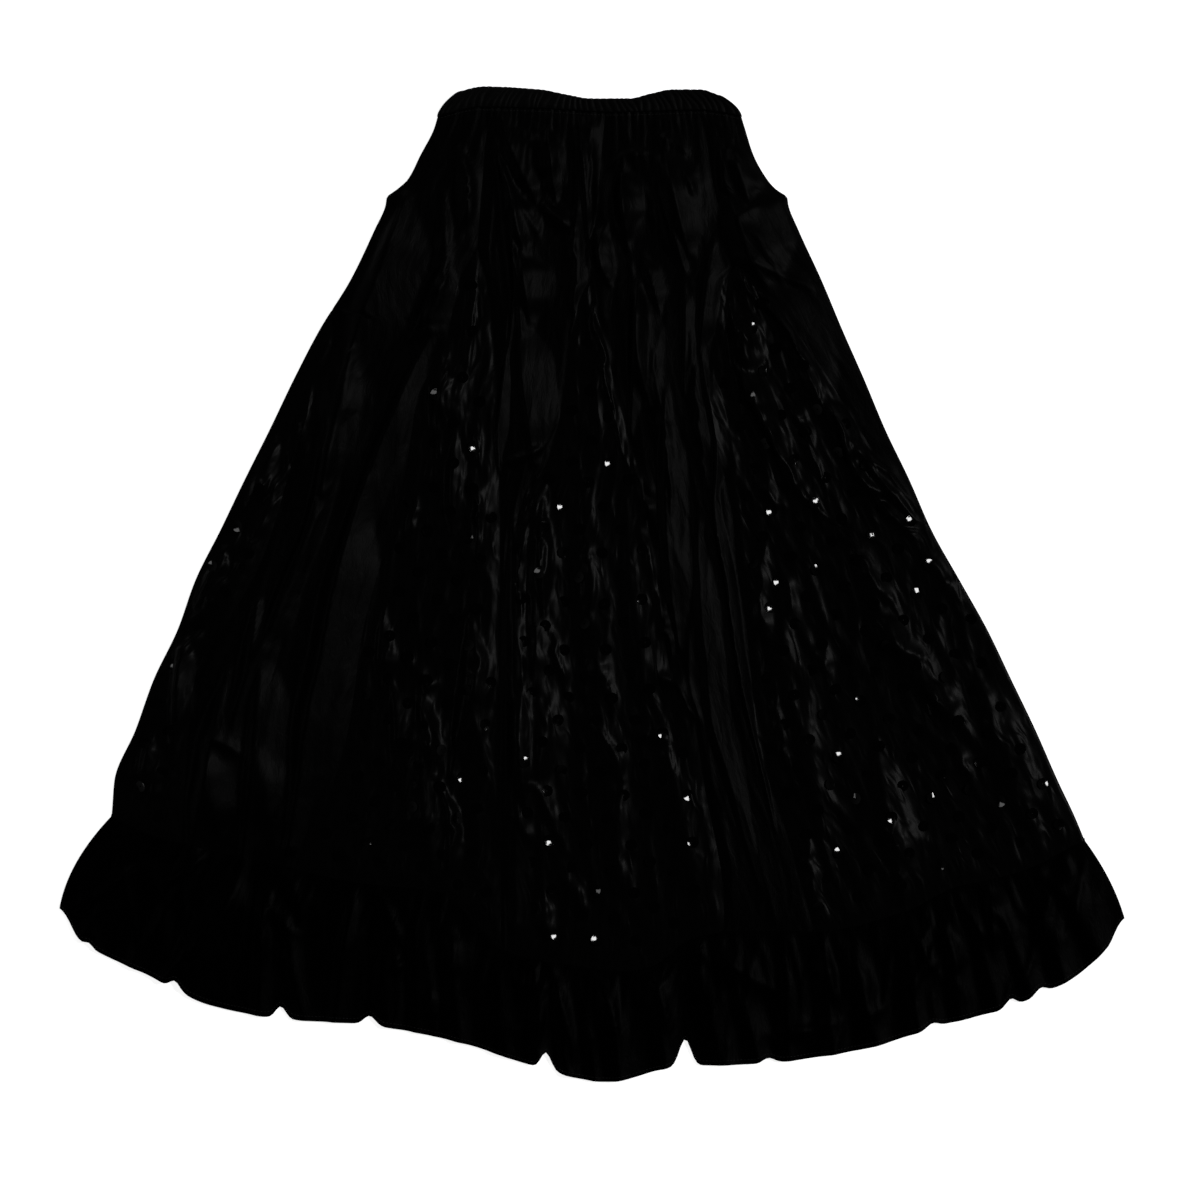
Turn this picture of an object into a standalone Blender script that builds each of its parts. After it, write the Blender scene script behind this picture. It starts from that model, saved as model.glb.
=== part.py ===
"""A long black skirt laid out flat, front upwards: metres, +Z up, the waist towards +Y.

Six gores hang from a cased elastic waistband, a shiny godet is let into each of their six seams, and a
gathered ruffle finishes the hem. Each piece is a thin wall of cloth. The skirt is a tube pressed flat, so a
place on it is t, the way round the tube from its left fold over the front to the right fold and on
underneath, and v, which runs from 0 at the top of a piece to 1 at its bottom. The origin is under the middle
of the skirt, on the surface that it lies on.
"""

import functools
import math

import bmesh
import bpy
import numpy as np

MM = 0.001
WALL = 1.0 * MM
HALF_GAP = 0.15 * MM  # each edge stands back this far from its seam line
TURN_GAP = 0.35 * MM  # more, where a seam passes round a side fold
FOLD_RADIUS = 1.6 * MM  # of the middle of the wall, where the tube turns under at each side
FOLD_SPARE = (math.pi / 2 - 1) * FOLD_RADIUS  # a rounded fold takes this much more cloth than a sharp one
FOLD_COLUMNS = 5  # columns of faces round a side fold
FRONT_COLUMN = 18 * MM
BACK_COLUMN = 60 * MM
BODY_ROWS = 23
TURN_STEPS = (-5, -3, -1.6, -0.8, 0, 0.8, 1.6, 3, 5)  # fold radii from a turn to the extra rows by it
WAY_SAMPLES = 1500  # to place columns by
TURN_SAMPLES = 80  # to find by where a seam passes round a side fold
SEAM_ROUNDS = 30  # of closing in on a seam along a bent row
EDGE_FADE = 22 * MM  # the folds of the front die out this close to a side fold
WAIST_FADE = 0.045  # and in this share of the length below the waistband

BAND_WALL = 2.2 * MM  # elastic, and the casing of satin gathered over it
BAND_RADIUS = 1.7 * MM
BAND_SPARE = (math.pi - 2) * BAND_RADIUS
BAND_GATHERS = 44  # across the front
BAND_RIB = 1.1 * MM
BAND_LEAN = 21 * MM  # the ends of the band's top edge stand in this far from those of its seam
BAND_LEAN_CURVE = 1.6  # more than 1, so the ends lean in mostly near the top
BAND_WRAP = 12 * MM  # the front of the casing reaches this far round each side

RUFFLE_ROWS = 4
RUFFLE_WRAP = 26 * MM
RUFFLE_GROWTH = 0.45  # share of the ruffle's depth in which its waves come up from the seam
RUFFLE_RISE = 0.3  # share of their height that they gain evenly from the seam to the hem


def table(names, rows):
    """The named columns of a short table in millimetres, as arrays in metres."""
    return dict(zip(names.split(), np.array(rows, float).T * MM))


# The outline of gores and godets, from the waist seam to the ruffle
OUTLINE = table("y left right", [
    (467, -154, 149), (454, -158, 153), (429, -171, 161), (404, -184, 175), (379, -206, 196),
    (354, -217, 206), (304, -241, 229), (254, -272, 250), (204, -298, 272), (154, -322, 293),
    (104, -347, 317), (54, -371, 339), (4, -396, 367), (-46, -414, 395), (-96, -438, 419),
    (-146, -456, 443), (-196, -477, 465), (-232, -480, 482), (-256, -486, 492)])

# The seam under the waistband, and the band's top edge, over its width
WAIST_SEAM = table("x y", [(-154, 467), (-112, 476), (-60, 475), (23, 471), (108, 473), (149, 467)])
BAND_TOP = table("x y", [
    (-154, 492), (-125, 497), (-60, 494), (-30, 489), (0, 485), (44, 485), (69, 490), (95, 494),
    (125, 494), (149, 488)])

# The seam of the ruffle across the front, and across the back a plain sagging curve
RUFFLE_SEAM = table("x y", [
    (-480, -232), (-440, -251), (-330, -277), (-236, -298), (-152, -308), (-118, -336), (-84, -368),
    (-20, -381), (33, -387), (59, -382), (101, -354), (148, -346), (225, -347), (313, -327),
    (360, -304), (428, -287), (492, -256)])
BACK_SAG = 120 * MM

# The seams on each side of a godet, down to the ruffle. Above its tip they are one seam of two gores. An x
# outside the outline lies that far round the side fold, on the back. Godets e and f lie on the back.
GODETS = {
    "a": table("y left right", [
        (467, -189, -189), (319, -272, -272), (290, -305, -262), (246, -343, -259), (204, -384, -272),
        (129, -445, -297), (26, -532, -329), (-38, -572, -364), (-88, -612, -395), (-136, -638, -402),
        (-251, -676, -410)]),
    "b": table("y left right", [
        (467, -104, -104), (344, -114, -114), (300, -134, -105), (240, -146, -98), (187, -174, -95),
        (114, -186, -94), (29, -209, -94), (-53, -230, -95), (-137, -242, -95), (-210, -262, -94),
        (-278, -300, -92), (-366, -330, -92)]),
    "c": table("y left right", [
        (467, 13, 13), (434, 10, 10), (312, -1, -1), (279, -14, 2), (244, -22, 13), (192, -28, 24),
        (128, -42, 42), (80, -68, 52), (24, -82, 62), (-96, -82, 80), (-135, -82, 101),
        (-200, -82, 112), (-325, -82, 132), (-373, -82, 130)]),
    "d": table("y left right", [
        (467, 112, 112), (400, 121, 121), (320, 144, 144), (304, 132, 162), (262, 124, 196), (208, 116, 234),
        (145, 124, 273), (91, 136, 310), (64, 141, 334), (24, 144, 361), (-50, 155, 404),
        (-150, 165, 464), (-256, 197, 531), (-346, 222, 560)]),
    "e": table("y left right", [
        (467, 73, 73), (319, 92, 92), (250, 94, 116), (100, 105, 170), (-100, 120, 252),
        (-364, 138, 352)]),
    "f": table("y left right", [
        (467, -24, -24), (319, -52, -52), (250, -68, -44), (100, -97, -20), (-100, -140, 5),
        (-364, -190, 34)]),
}
ROUND_THE_BACK = ("e", "f")
TIP_WIDTH = 5 * MM  # a godet narrows to its tip from here
RING = ("godet_e", "gore_5", "godet_f", "gore_6", "godet_a", "gore_1", "godet_b", "gore_2", "godet_c",
        "gore_3", "godet_d", "gore_4")

# The main folds of the front: three places along each crest, its half width and its height
FOLDS = table("x0 y0 x1 y1 x2 y2 width height", [
    (-158, 274, -216, 24, -297, -262, 16, 13),
    (-240, 234, -282, 54, -362, -136, 14, 8),
    (-392, -160, -380, -210, -372, -250, 17, 8),
    (-334, -170, -324, -215, -320, -258, 17, 7),
    (-134, 434, -128, 390, -134, 345, 9, 5),
    (-96, 440, -80, 344, -72, 250, 9, 7),
    (-56, 454, -50, 430, -46, 398, 11, 5),
    (-18, 450, -14, 400, -18, 330, 9, 6),
    (28, 402, 30, 370, 36, 335, 10, 6),
    (66, 424, 76, 369, 92, 310, 11, 7),
    (136, 440, 148, 408, 156, 380, 10, 6),
    (168, 366, 184, 346, 210, 306, 16, 8),
    (44, 300, 42, 244, 56, 178, 12, 8),
    (76, 160, 92, -16, 166, -330, 14, 11),
    (124, 112, 126, -16, 168, -250, 12, 7),
    (-120, 270, -132, 164, -146, 20, 12, 6),
    (-166, -100, -172, -196, -158, -290, 16, 8),
    (-112, 190, -116, -56, -112, -330, 12, 8),
    (-54, 90, -54, -56, -50, -340, 13, 10),
    (-12, 118, 4, -56, 26, -340, 13, 7),
    (34, 84, 42, -40, 54, -140, 12, 6),
    (72, -170, 92, -250, 104, -330, 13, 7),
    (152, 256, 164, 184, 214, 80, 12, 8),
    (192, 236, 234, 164, 288, 72, 12, 7),
    (256, 50, 306, -56, 370, -140, 14, 8),
    (186, -10, 204, -136, 236, -280, 13, 7),
    (392, -100, 414, -176, 440, -236, 14, 6),
    (284, -156, 296, -236, 312, -306, 14, 6),
    (-318, 96, -360, -20, -424, -165, 13, 6),
])
CREST_ENDS = 0.35  # a crest's height at its ends, as a share of the full height
CREST_STEPS = 8

# The hem across the front, and its notches, where one wave ends short of the next
HEM = table("x y", [
    (-532, -324), (-508, -358), (-442, -391), (-380, -421), (-311, -434), (-226, -440), (-131, -458),
    (-62, -480), (14, -497), (86, -482), (164, -479), (268, -465), (347, -441), (412, -424),
    (479, -394), (516, -361), (532, -334)])
NOTCHES = table("x depth width", [
    (-502, 4, 5), (-416, 9, 7), (-311, 12, 7), (-222, 9, 8), (-46, 17, 7), (93, 27, 8), (176, 5, 8),
    (340, 5, 8), (418, 8, 7), (448, 7, 8)])
BACK_HEM = table("x y", [
    (-532, -324), (-480, -364), (-400, -394), (-300, -411), (-200, -427), (-100, -446), (0, -460),
    (92, -446), (200, -453), (300, -438), (400, -410), (480, -374), (532, -334)])
HEM_BOW = 9 * MM  # the side folds of the ruffle bow out by this much

# The waves of the ruffle: where each leaves the seam and meets the hem, half width and height at the hem
WAVES = table("seam hem width height", [
    (-443, -510, 11, 7), (-388, -462, 11, 8), (-345, -426, 16, 12), (-326, -334, 9, 10),
    (-318, -290, 9, 9), (-237, -258, 10, 10), (-210, -206, 10, 9), (-180, -176, 9, 7),
    (-145, -136, 9, 8), (-92, -96, 12, 9), (-62, -56, 9, 9), (-38, -26, 8, 8), (-16, 2, 8, 7),
    (4, 26, 11, 12), (58, 72, 10, 11), (103, 128, 12, 11), (126, 166, 9, 9), (190, 196, 10, 9),
    (225, 240, 10, 10), (256, 284, 10, 9), (313, 324, 15, 12), (350, 366, 9, 9), (372, 404, 10, 10),
    (400, 438, 9, 8), (434, 472, 11, 9), (463, 506, 11, 8)])


def through(x, xs, ys):
    """A smooth curve through the points of a table, which never overshoots them."""
    order = np.argsort(xs)
    xs, ys = xs[order], ys[order]
    step = np.diff(xs)
    slope = np.diff(ys) / step
    agree = slope[:-1] * slope[1:] > 0
    total = np.where(agree, slope[:-1] + slope[1:], 1)
    inner = np.where(agree, 2 * slope[:-1] * slope[1:] / total, 0)
    tangent = np.concatenate([slope[:1], inner, slope[-1:]])
    x = np.clip(x, xs[0], xs[-1])
    i = np.clip(np.searchsorted(xs, x, side="right") - 1, 0, len(step) - 1)
    s = (x - xs[i]) / step[i]
    ends = ys[i] * (1 + 2 * s) * (1 - s) ** 2 + ys[i + 1] * (3 - 2 * s) * s ** 2
    bends = tangent[i] * s * (1 - s) ** 2 - tangent[i + 1] * (1 - s) * s ** 2
    return ends + step[i] * bends


def blend(a, b, share):
    return a + (b - a) * share


def ease(x):
    """0 up to 0, 1 from 1 on, and a soft step between."""
    x = np.clip(x, 0, 1)
    return x * x * (3 - 2 * x)


def lay(t, left, right, radius, wall):
    """Where the way t round the flattened tube lies: x, height, outward x and z, and share of the front."""
    round_trip = right - left + 2 * (math.pi / 2 - 1) * radius
    on_left = t < round_trip / 2
    way = np.where(on_left, t, round_trip - t)
    run = np.abs(way)
    angle = np.minimum(run / radius, math.pi / 2)
    reach = radius * (1 - np.cos(angle)) + np.maximum(run - radius * math.pi / 2, 0)
    over = np.where(way > 0, 1.0, -1.0)
    x = np.where(on_left, left + reach, right - reach)
    height = wall / 2 + radius * (1 + over * np.sin(angle))
    outward_x = np.where(on_left, -np.cos(angle), np.cos(angle))
    front = ease(way / EDGE_FADE)
    return x, height, outward_x, over * np.sin(angle), front


def crest_height(x, y):
    """How high the main folds lift the front at x, y."""
    square = np.zeros_like(x)
    steps = np.linspace(0, 1, CREST_STEPS + 1)
    for x0, y0, x1, y1, x2, y2, width, height in zip(*FOLDS.values()):
        parts = (1 - steps) * (1 - 2 * steps), 4 * steps * (1 - steps), steps * (2 * steps - 1)
        crest = np.array([parts[0] * a + parts[1] * b + parts[2] * c
                          for a, b, c in ((x0, x1, x2), (y0, y1, y2))]).T
        near = np.full_like(x, np.inf)
        place = np.zeros_like(x)
        for step, (start, end) in enumerate(zip(crest, crest[1:])):
            run = end - start
            s = np.clip(((x - start[0]) * run[0] + (y - start[1]) * run[1]) / run.dot(run), 0, 1)
            away = np.hypot(x - start[0] - s * run[0], y - start[1] - s * run[1])
            place = np.where(away < near, (step + s) / CREST_STEPS, place)
            near = np.minimum(near, away)
        along = CREST_ENDS + (1 - CREST_ENDS) * ease(4 * np.minimum(place, 1 - place))
        square += (height * along * np.exp(-(near / width) ** 2)) ** 2
    return np.sqrt(square)


def body_sides(v):
    left = through(blend(OUTLINE["y"][0], RUFFLE_SEAM["y"][0], v), OUTLINE["y"], OUTLINE["left"])
    right = through(blend(OUTLINE["y"][0], RUFFLE_SEAM["y"][-1], v), OUTLINE["y"], OUTLINE["right"])
    return left, right


def body_y(share, v, front):
    """Height up the skirt at a share of its width: the rows bend from the waist seam to the ruffle."""
    top = through(blend(WAIST_SEAM["x"][0], WAIST_SEAM["x"][-1], share), *WAIST_SEAM.values())
    ends = blend(RUFFLE_SEAM["y"][0], RUFFLE_SEAM["y"][-1], share)
    plain = ends - BACK_SAG * 4 * share * (1 - share)
    seam = through(blend(RUFFLE_SEAM["x"][0], RUFFLE_SEAM["x"][-1], share), *RUFFLE_SEAM.values())
    return blend(top, plain, v) + front * (seam - plain) * v ** 3


def body_point(t, v):
    left, right = body_sides(v)
    x, height, _, _, front = lay(t, left, right, FOLD_RADIUS, WALL)
    share = (x - left) / (right - left)
    y = body_y(share, v, front)
    return x, y, height + front * ease(v / WAIST_FADE) * crest_height(x, y)


def seam_way(rows, edge, v, behind):
    """The way t round the tube to a godet's edge at v, and whether that is still above its tip."""
    left, right = body_sides(v)
    x = rows[edge][0]
    for _ in range(SEAM_ROUNDS):
        share = np.clip((x - left) / (right - left), 0, 1)
        y = body_y(share, v, 0.0 if behind else 1.0)
        x = float(through(y, rows["y"], rows[edge]))
    shut = y >= rows["y"][rows["left"] == rows["right"]].min()
    return (left - x - FOLD_SPARE if behind else x - left + FOLD_SPARE), shut


def girth(v):
    left, right = body_sides(v)
    return right - left + 2 * FOLD_SPARE


@functools.cache
def seams(v):
    """The ways to all twelve seams at v, in the order of RING, and the first again, one time round."""
    ways = []
    for key in "efabcd":
        pair = [seam_way(GODETS[key], edge, v, key in ROUND_THE_BACK) for edge in ("left", "right")]
        (low, shut), (high, _) = sorted(pair)
        ways += [(low + high) / 2] * 2 if shut or high - low < TIP_WIDTH else [low, high]
    return ways + [ways[0] + 2 * girth(v)]


def spread(t, around):
    """Counts columns of faces along t: wide on the back, narrower on the front, close in the side folds."""
    front = np.clip(t, 0, around)
    count = front / FRONT_COLUMN + (t - front) / BACK_COLUMN
    turn = FOLD_RADIUS * math.pi
    return count + FOLD_COLUMNS * (ease(t / turn + 0.5) + ease((t - around) / turn + 0.5))


def column_ways(low, high, columns, around):
    ways = np.linspace(low, high, WAY_SAMPLES)
    count = spread(ways, around)
    return np.interp(np.linspace(count[0], count[-1], columns + 1), count, ways)


def inset(way, around):
    """How far an edge stands back from its seam: further where the seam passes round a side fold."""
    to_fold = min(abs(way), abs(way - around))
    return HALF_GAP + TURN_GAP * math.exp(-(to_fold / (2 * FOLD_RADIUS)) ** 2)


@functools.cache
def turning_rows():
    """For each piece whose seam passes round a side fold: rows close together there, and its other edge."""
    rows = np.linspace(0.1, 1, TURN_SAMPLES)
    past_left = [seam_way(GODETS["a"], "right", v, False)[0] for v in rows]
    past_right = [seam_way(GODETS["d"], "right", v, False)[0] - girth(v) for v in rows]
    steps = np.array(TURN_STEPS) * FOLD_RADIUS
    left_turn, right_turn = np.interp(steps, past_left, rows), np.interp(steps, past_right, rows)
    return {"godet_a": (left_turn, 0), "gore_1": (left_turn, -1),
            "godet_d": (right_turn, 0), "gore_4": (right_turn, -1)}


def satin(name, grey, roughness):
    material = bpy.data.materials.new(name)
    material.use_nodes = True
    shader = material.node_tree.nodes["Principled BSDF"]
    shader.inputs["Base Color"].default_value = (grey, grey, grey * 1.05, 1)
    shader.inputs["Roughness"].default_value = roughness
    shader.inputs["Metallic"].default_value = 0
    return material


def finish_mesh(name, bm, material):
    """The object of a piece, in the skirt's collection."""
    mesh = bpy.data.meshes.new(name)
    bm.to_mesh(mesh)
    bm.free()
    mesh.shade_smooth()
    mesh.materials.append(material)
    piece = bpy.data.objects.new(name, mesh)
    skirt.objects.link(piece)
    return piece


def cloth(name, points, material, tip=False):
    """A wall of cloth on rows of points, from a grid, whose first row may close to a tip."""
    rows, columns = len(points) - 1, len(points[0]) - 1
    bm = bmesh.new()
    bmesh.ops.create_grid(bm, x_segments=columns, y_segments=rows, size=0.5)
    first = []
    for vertex in bm.verts:
        row = round((0.5 - vertex.co.y) * rows)
        column = round((vertex.co.x + 0.5) * columns)
        vertex.co = points[row][column]
        if row == 0:
            first.append(vertex)
    if tip:
        bmesh.ops.pointmerge(bm, verts=first, merge_co=first[0].co)
    piece = finish_mesh(name, bm, material)
    solidify = piece.modifiers.new("Wall", "SOLIDIFY")
    solidify.thickness = WALL
    solidify.offset = 0


def straighten(points, lines, extra, column):
    """Puts an edge's points at extra rows on straight lines, as on the neighbour that lacks these rows."""
    rows = np.array([v for v, _, _ in lines])
    own = ~np.isin(rows, extra)
    edge = np.array([row[column] for row in points])
    for axis in range(3):
        edge[:, axis] = np.interp(rows, rows[own], edge[own, axis])
    for row, point in zip(points, edge):
        row[column] = point


def panel(name, index, rows, material):
    """One gore or godet, between two seams of the ring, from the waist or from its tip to the ruffle."""
    is_godet = name.startswith("godet")
    extra, far_edge = turning_rows().get(name, ([], 0))
    lines = [(v, seams(v)) for v in np.sort(np.append(rows, extra))]
    closed = [v for v, ways in lines if is_godet and ways[index + 1] - ways[index] == 0]
    kept = [(v, ways) for v, ways in lines if not closed or v > closed[-1]]
    bounds = [(v, ways[index] + inset(ways[index], girth(v)),
               ways[index + 1] - inset(ways[index + 1], girth(v))) for v, ways in kept]
    columns = max(2, math.ceil(max(
        float(spread(high, girth(v)) - spread(low, girth(v))) for v, low, high in bounds)))
    points = []
    for v, low, high in bounds:
        ways = column_ways(low, high, columns, girth(v))
        points.append(np.array(body_point(ways, np.full_like(ways, v))).T)
    straighten(points, bounds, extra, far_edge)
    if is_godet:
        points.insert(0, tip_row(points[0], closed[-1], bounds[0], index, dict(lines)))
    cloth(name, points, material, tip=is_godet)
    return ways


def tip_row(below, v_closed, first_row, index, lines):
    """All points of a godet's tip, which stands clear of the two gores that meet above it."""
    v_open, low, high = first_row
    clear = 2 * HALF_GAP / (high - low + 2 * HALF_GAP)
    v = blend(v_closed, v_open, 2 * clear)
    way = blend(lines[v_closed][index], (low + high) / 2, 2 * clear)
    x, y, z = body_point(np.array([way]), np.array([v]))
    return np.repeat([[x[0], y[0], z[0]]], len(below), axis=0)


def make_body():
    """All gores and godets. Returns the ways to every column at the ruffle's seam."""
    clear = HALF_GAP / (OUTLINE["y"][0] - OUTLINE["y"][-1])
    rows = np.linspace(clear, 1 - clear, BODY_ROWS + 1)
    bottom = []
    for index, name in enumerate(RING):
        material = shiny_satin if name.startswith("godet") else dull_satin
        bottom.append(panel(name, index, rows, material))
    return bottom


def wave_height(x, share_down):
    """How high the ruffle's waves lift it, from nothing at its seam."""
    square = np.zeros_like(x)
    for seam, hem, width, height in zip(*WAVES.values()):
        crest = blend(seam, hem, share_down)
        square += (height * np.exp(-((x - crest) / width) ** 2)) ** 2
    rise = 1 - RUFFLE_RISE * (1 - share_down)
    return np.sqrt(square) * ease(share_down / RUFFLE_GROWTH) * rise


def front_hem(x):
    y = through(x, *HEM.values())
    for place, depth, width in zip(*NOTCHES.values()):
        y = y + depth * np.exp(-((x - place) / width) ** 2)
    return y


def ruffle_point(t, w):
    """A point of the ruffle at share w of its depth. At w = 0 it lies in line with the panels above."""
    seam_left, seam_right = RUFFLE_SEAM["x"][0], RUFFLE_SEAM["x"][-1]
    bow = HEM_BOW * 4 * w * (1 - w)
    left = blend(seam_left, HEM["x"][0], w) - bow
    right = blend(seam_right, HEM["x"][-1], w) + bow / 2
    stretch = (right - left + 2 * FOLD_SPARE) / girth(1.0)
    x, height, _, _, front = lay(t * stretch, left, right, FOLD_RADIUS, WALL)
    share = np.clip((x - left) / (right - left), 0, 1)
    hem_x = blend(HEM["x"][0], HEM["x"][-1], share)
    hem = blend(through(hem_x, *BACK_HEM.values()), front_hem(hem_x), front)
    y = blend(body_y(share, 1.0, front), hem, w)
    seam_x = blend(seam_left, seam_right, share)
    above = crest_height(seam_x, body_y(share, 1.0, front)) * (1 - ease(w / RUFFLE_GROWTH))
    return np.array([x, y, height + front * (above + wave_height(x, w))]).T


def between(ways, around):
    """The ways with one more halfway between each two, except in the side folds."""
    more = []
    for before, after in zip(ways, ways[1:]):
        middle = (before + after) / 2
        if min(abs(middle), abs(middle - around)) > 4 * FOLD_RADIUS:
            more.append(middle)
    return np.sort(np.append(ways, more))


def make_ruffle(bottom):
    """The front of the ruffle, which turns under at both sides, and its flat back."""
    around = float(girth(1.0))
    ways = np.sort(np.concatenate(bottom))
    ways = ways[(ways > -RUFFLE_WRAP) & (ways < around + RUFFLE_WRAP)]
    kept = [-RUFFLE_WRAP + HALF_GAP]
    for way in ways:
        if way - kept[-1] > 3 * HALF_GAP:
            kept.append(way)
    kept.append(around + RUFFLE_WRAP - HALF_GAP)
    halves = between(kept, around)
    start = 2 * HALF_GAP / (RUFFLE_SEAM["y"][0] - HEM["y"][0])
    depth = np.linspace(start, 1, RUFFLE_ROWS + 1)
    points = [ruffle_point(halves, np.full_like(halves, w)) for w in depth]
    extra = np.isin(halves, kept, invert=True)
    before, after = np.roll(points[0], 1, axis=0), np.roll(points[0], -1, axis=0)
    points[0][extra] = (before[extra] + after[extra]) / 2
    cloth("ruffle_front", points, dull_satin)

    columns = math.ceil((around - 2 * RUFFLE_WRAP) / BACK_COLUMN)
    ends = (RUFFLE_WRAP + HALF_GAP - around, -RUFFLE_WRAP - HALF_GAP)
    back = np.linspace(*ends, 2 * columns + 1)
    points = [ruffle_point(back, np.full_like(back, w)) for w in depth[::2]]
    cloth("ruffle_back", points, dull_satin)


def band_point(t, w, outward):
    """A point of the waistband at share w of its height, moved out of the middle of its wall."""
    seam_left, seam_right = WAIST_SEAM["x"][0], WAIST_SEAM["x"][-1]
    lean = BAND_LEAN * w ** BAND_LEAN_CURVE
    left, right = seam_left + lean, seam_right - lean
    stretch = (right - left + BAND_SPARE) / (seam_right - seam_left + BAND_SPARE)
    x, height, outward_x, outward_z, _ = lay(t * stretch, left, right, BAND_RADIUS, BAND_WALL)
    share = np.clip((x - left) / (right - left), 0, 1)
    place = blend(seam_left, seam_right, share)
    seam, top = through(place, *WAIST_SEAM.values()), through(place, *BAND_TOP.values())
    y = blend(seam + 2 * HALF_GAP, top, w)
    return x + outward * outward_x, y, height + outward * outward_z


def band_ring(t, rib):
    """One closed section of the casing: plain inside, rounded over the top, and ribbed outside."""
    half = BAND_WALL / 2
    section = [(0.0, -half), (0.3, -half), (0.65, -half), (0.94, -half), (1.0, 0.0),
               (0.94, half), (0.65, half + 0.8 * rib), (0.3, half + rib), (0.0, half * 0.9)]
    return [tuple(float(c) for c in band_point(np.array(t), w, outward)) for w, outward in section]


def loft(name, rings, material):
    """A closed solid through rings of points, whose ends close with a strip between inside and outside."""
    bm = bmesh.new()
    rows = [[bm.verts.new(point) for point in ring] for ring in rings]
    count = len(rings[0])
    for before, after in zip(rows, rows[1:]):
        for i in range(count):
            j = (i + 1) % count
            bm.faces.new((before[i], after[i], after[j], before[j]))
    for end in (rows[0], rows[-1]):
        for i in range(count // 2):
            strip = [end[i], end[i + 1], end[count - 2 - i], end[count - 1 - i]]
            bm.faces.new(list(dict.fromkeys(strip)))
    bmesh.ops.recalc_face_normals(bm, faces=bm.faces)
    finish_mesh(name, bm, material)


def make_waistband():
    around = WAIST_SEAM["x"][-1] - WAIST_SEAM["x"][0] + BAND_SPARE
    turn = BAND_RADIUS * math.pi
    thirds = np.linspace(0, 1, 3 * BAND_GATHERS + 1)
    uneven = thirds + 0.0025 * np.sin(37 * thirds) + 0.0015 * np.sin(83 * thirds + 1)
    front = blend(turn / 2, around - turn / 2, uneven)
    folds = np.linspace(-turn / 2, turn / 2, 6)[:-1]
    ways = np.concatenate([[-BAND_WRAP], folds, front, around - folds[::-1], [around + BAND_WRAP]])
    swell = 0.75 + 0.25 * np.sin(61 * thirds)
    rib = np.zeros_like(ways)
    rib[6:-6] = BAND_RIB * np.where(np.arange(len(front)) % 3 == 0, 0, swell)
    loft("waistband_front", [band_ring(t, r) for t, r in zip(ways, rib)], dull_satin)
    back = np.linspace(BAND_WRAP + 2 * HALF_GAP - around, -BAND_WRAP - 2 * HALF_GAP, 13)
    loft("waistband_back", [band_ring(t, 0) for t in back], dull_satin)


for old in list(bpy.data.objects):
    bpy.data.objects.remove(old, do_unlink=True)
skirt = bpy.data.collections.new("skirt")
bpy.context.scene.collection.children.link(skirt)
dull_satin = satin("dull_satin", 0.010, 0.55)
shiny_satin = satin("shiny_satin", 0.008, 0.22)

make_waistband()
make_ruffle(make_body())
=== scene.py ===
"""The looks of a long black skirt laid out flat: its cloth, creases, gathers, sequins and thread."""

import math

import bpy
import numpy as np
from mathutils import Matrix, Vector


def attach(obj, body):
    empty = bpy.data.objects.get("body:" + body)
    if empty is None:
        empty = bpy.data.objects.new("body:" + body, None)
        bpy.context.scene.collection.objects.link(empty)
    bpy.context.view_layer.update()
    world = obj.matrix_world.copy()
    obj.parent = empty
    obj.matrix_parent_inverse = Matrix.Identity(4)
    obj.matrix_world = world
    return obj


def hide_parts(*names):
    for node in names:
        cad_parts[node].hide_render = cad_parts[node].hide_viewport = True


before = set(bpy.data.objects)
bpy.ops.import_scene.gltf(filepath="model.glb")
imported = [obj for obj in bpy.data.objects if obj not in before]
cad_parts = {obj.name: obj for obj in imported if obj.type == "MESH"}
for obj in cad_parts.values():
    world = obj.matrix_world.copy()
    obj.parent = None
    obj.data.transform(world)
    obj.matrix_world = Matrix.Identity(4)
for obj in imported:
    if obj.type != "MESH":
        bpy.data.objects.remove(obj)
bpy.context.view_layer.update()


# The camera hangs over the skirt and looks straight down. Its frame is 1.2 m square on the floor, so that
# a pixel of the photograph is 1 mm.
EYE = Vector((0.008, -0.016, 3.6))
FRAME_WIDTH = 1.2
SENSOR = 36
camera_data = bpy.data.cameras.new("camera")
camera_data.sensor_width = SENSOR
camera_data.lens = SENSOR * EYE.z / FRAME_WIDTH
camera = bpy.data.objects.new("camera", camera_data)
camera.location = EYE
bpy.context.scene.collection.objects.link(camera)
bpy.context.scene.camera = camera


# The plan of the skirt: a tube of gores and godets pressed flat. A place on it is t, the way round from the
# left fold over the front to the right fold and on underneath, and v, from 0 at the waist to 1 at the ruffle.
MM = 0.001
CLOTH = 0.45 * MM
LIFT = 0.8 * MM  # of the back, which lies on its sequins
FOLD_RADIUS = 1.5 * MM  # of the turn at each side
FOLD_SPARE = (math.pi / 2 - 1) * FOLD_RADIUS
EDGE_FADE = 18 * MM  # the front's folds die out this close to a side
ROWS = 240
FRONT_COLUMN = 3.2 * MM
BACK_COLUMN = 13 * MM
FOLD_COLUMNS = 8
FINE_WAYS = 2000  # steps in which a row's columns are counted
SEAM_PASSES = 30  # rounds in which a seam's x and y are brought together


def table(names, rows):
    """The named columns of a short table in millimetres, as arrays in metres."""
    return dict(zip(names.split(), np.array(rows, float).T * MM))


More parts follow.
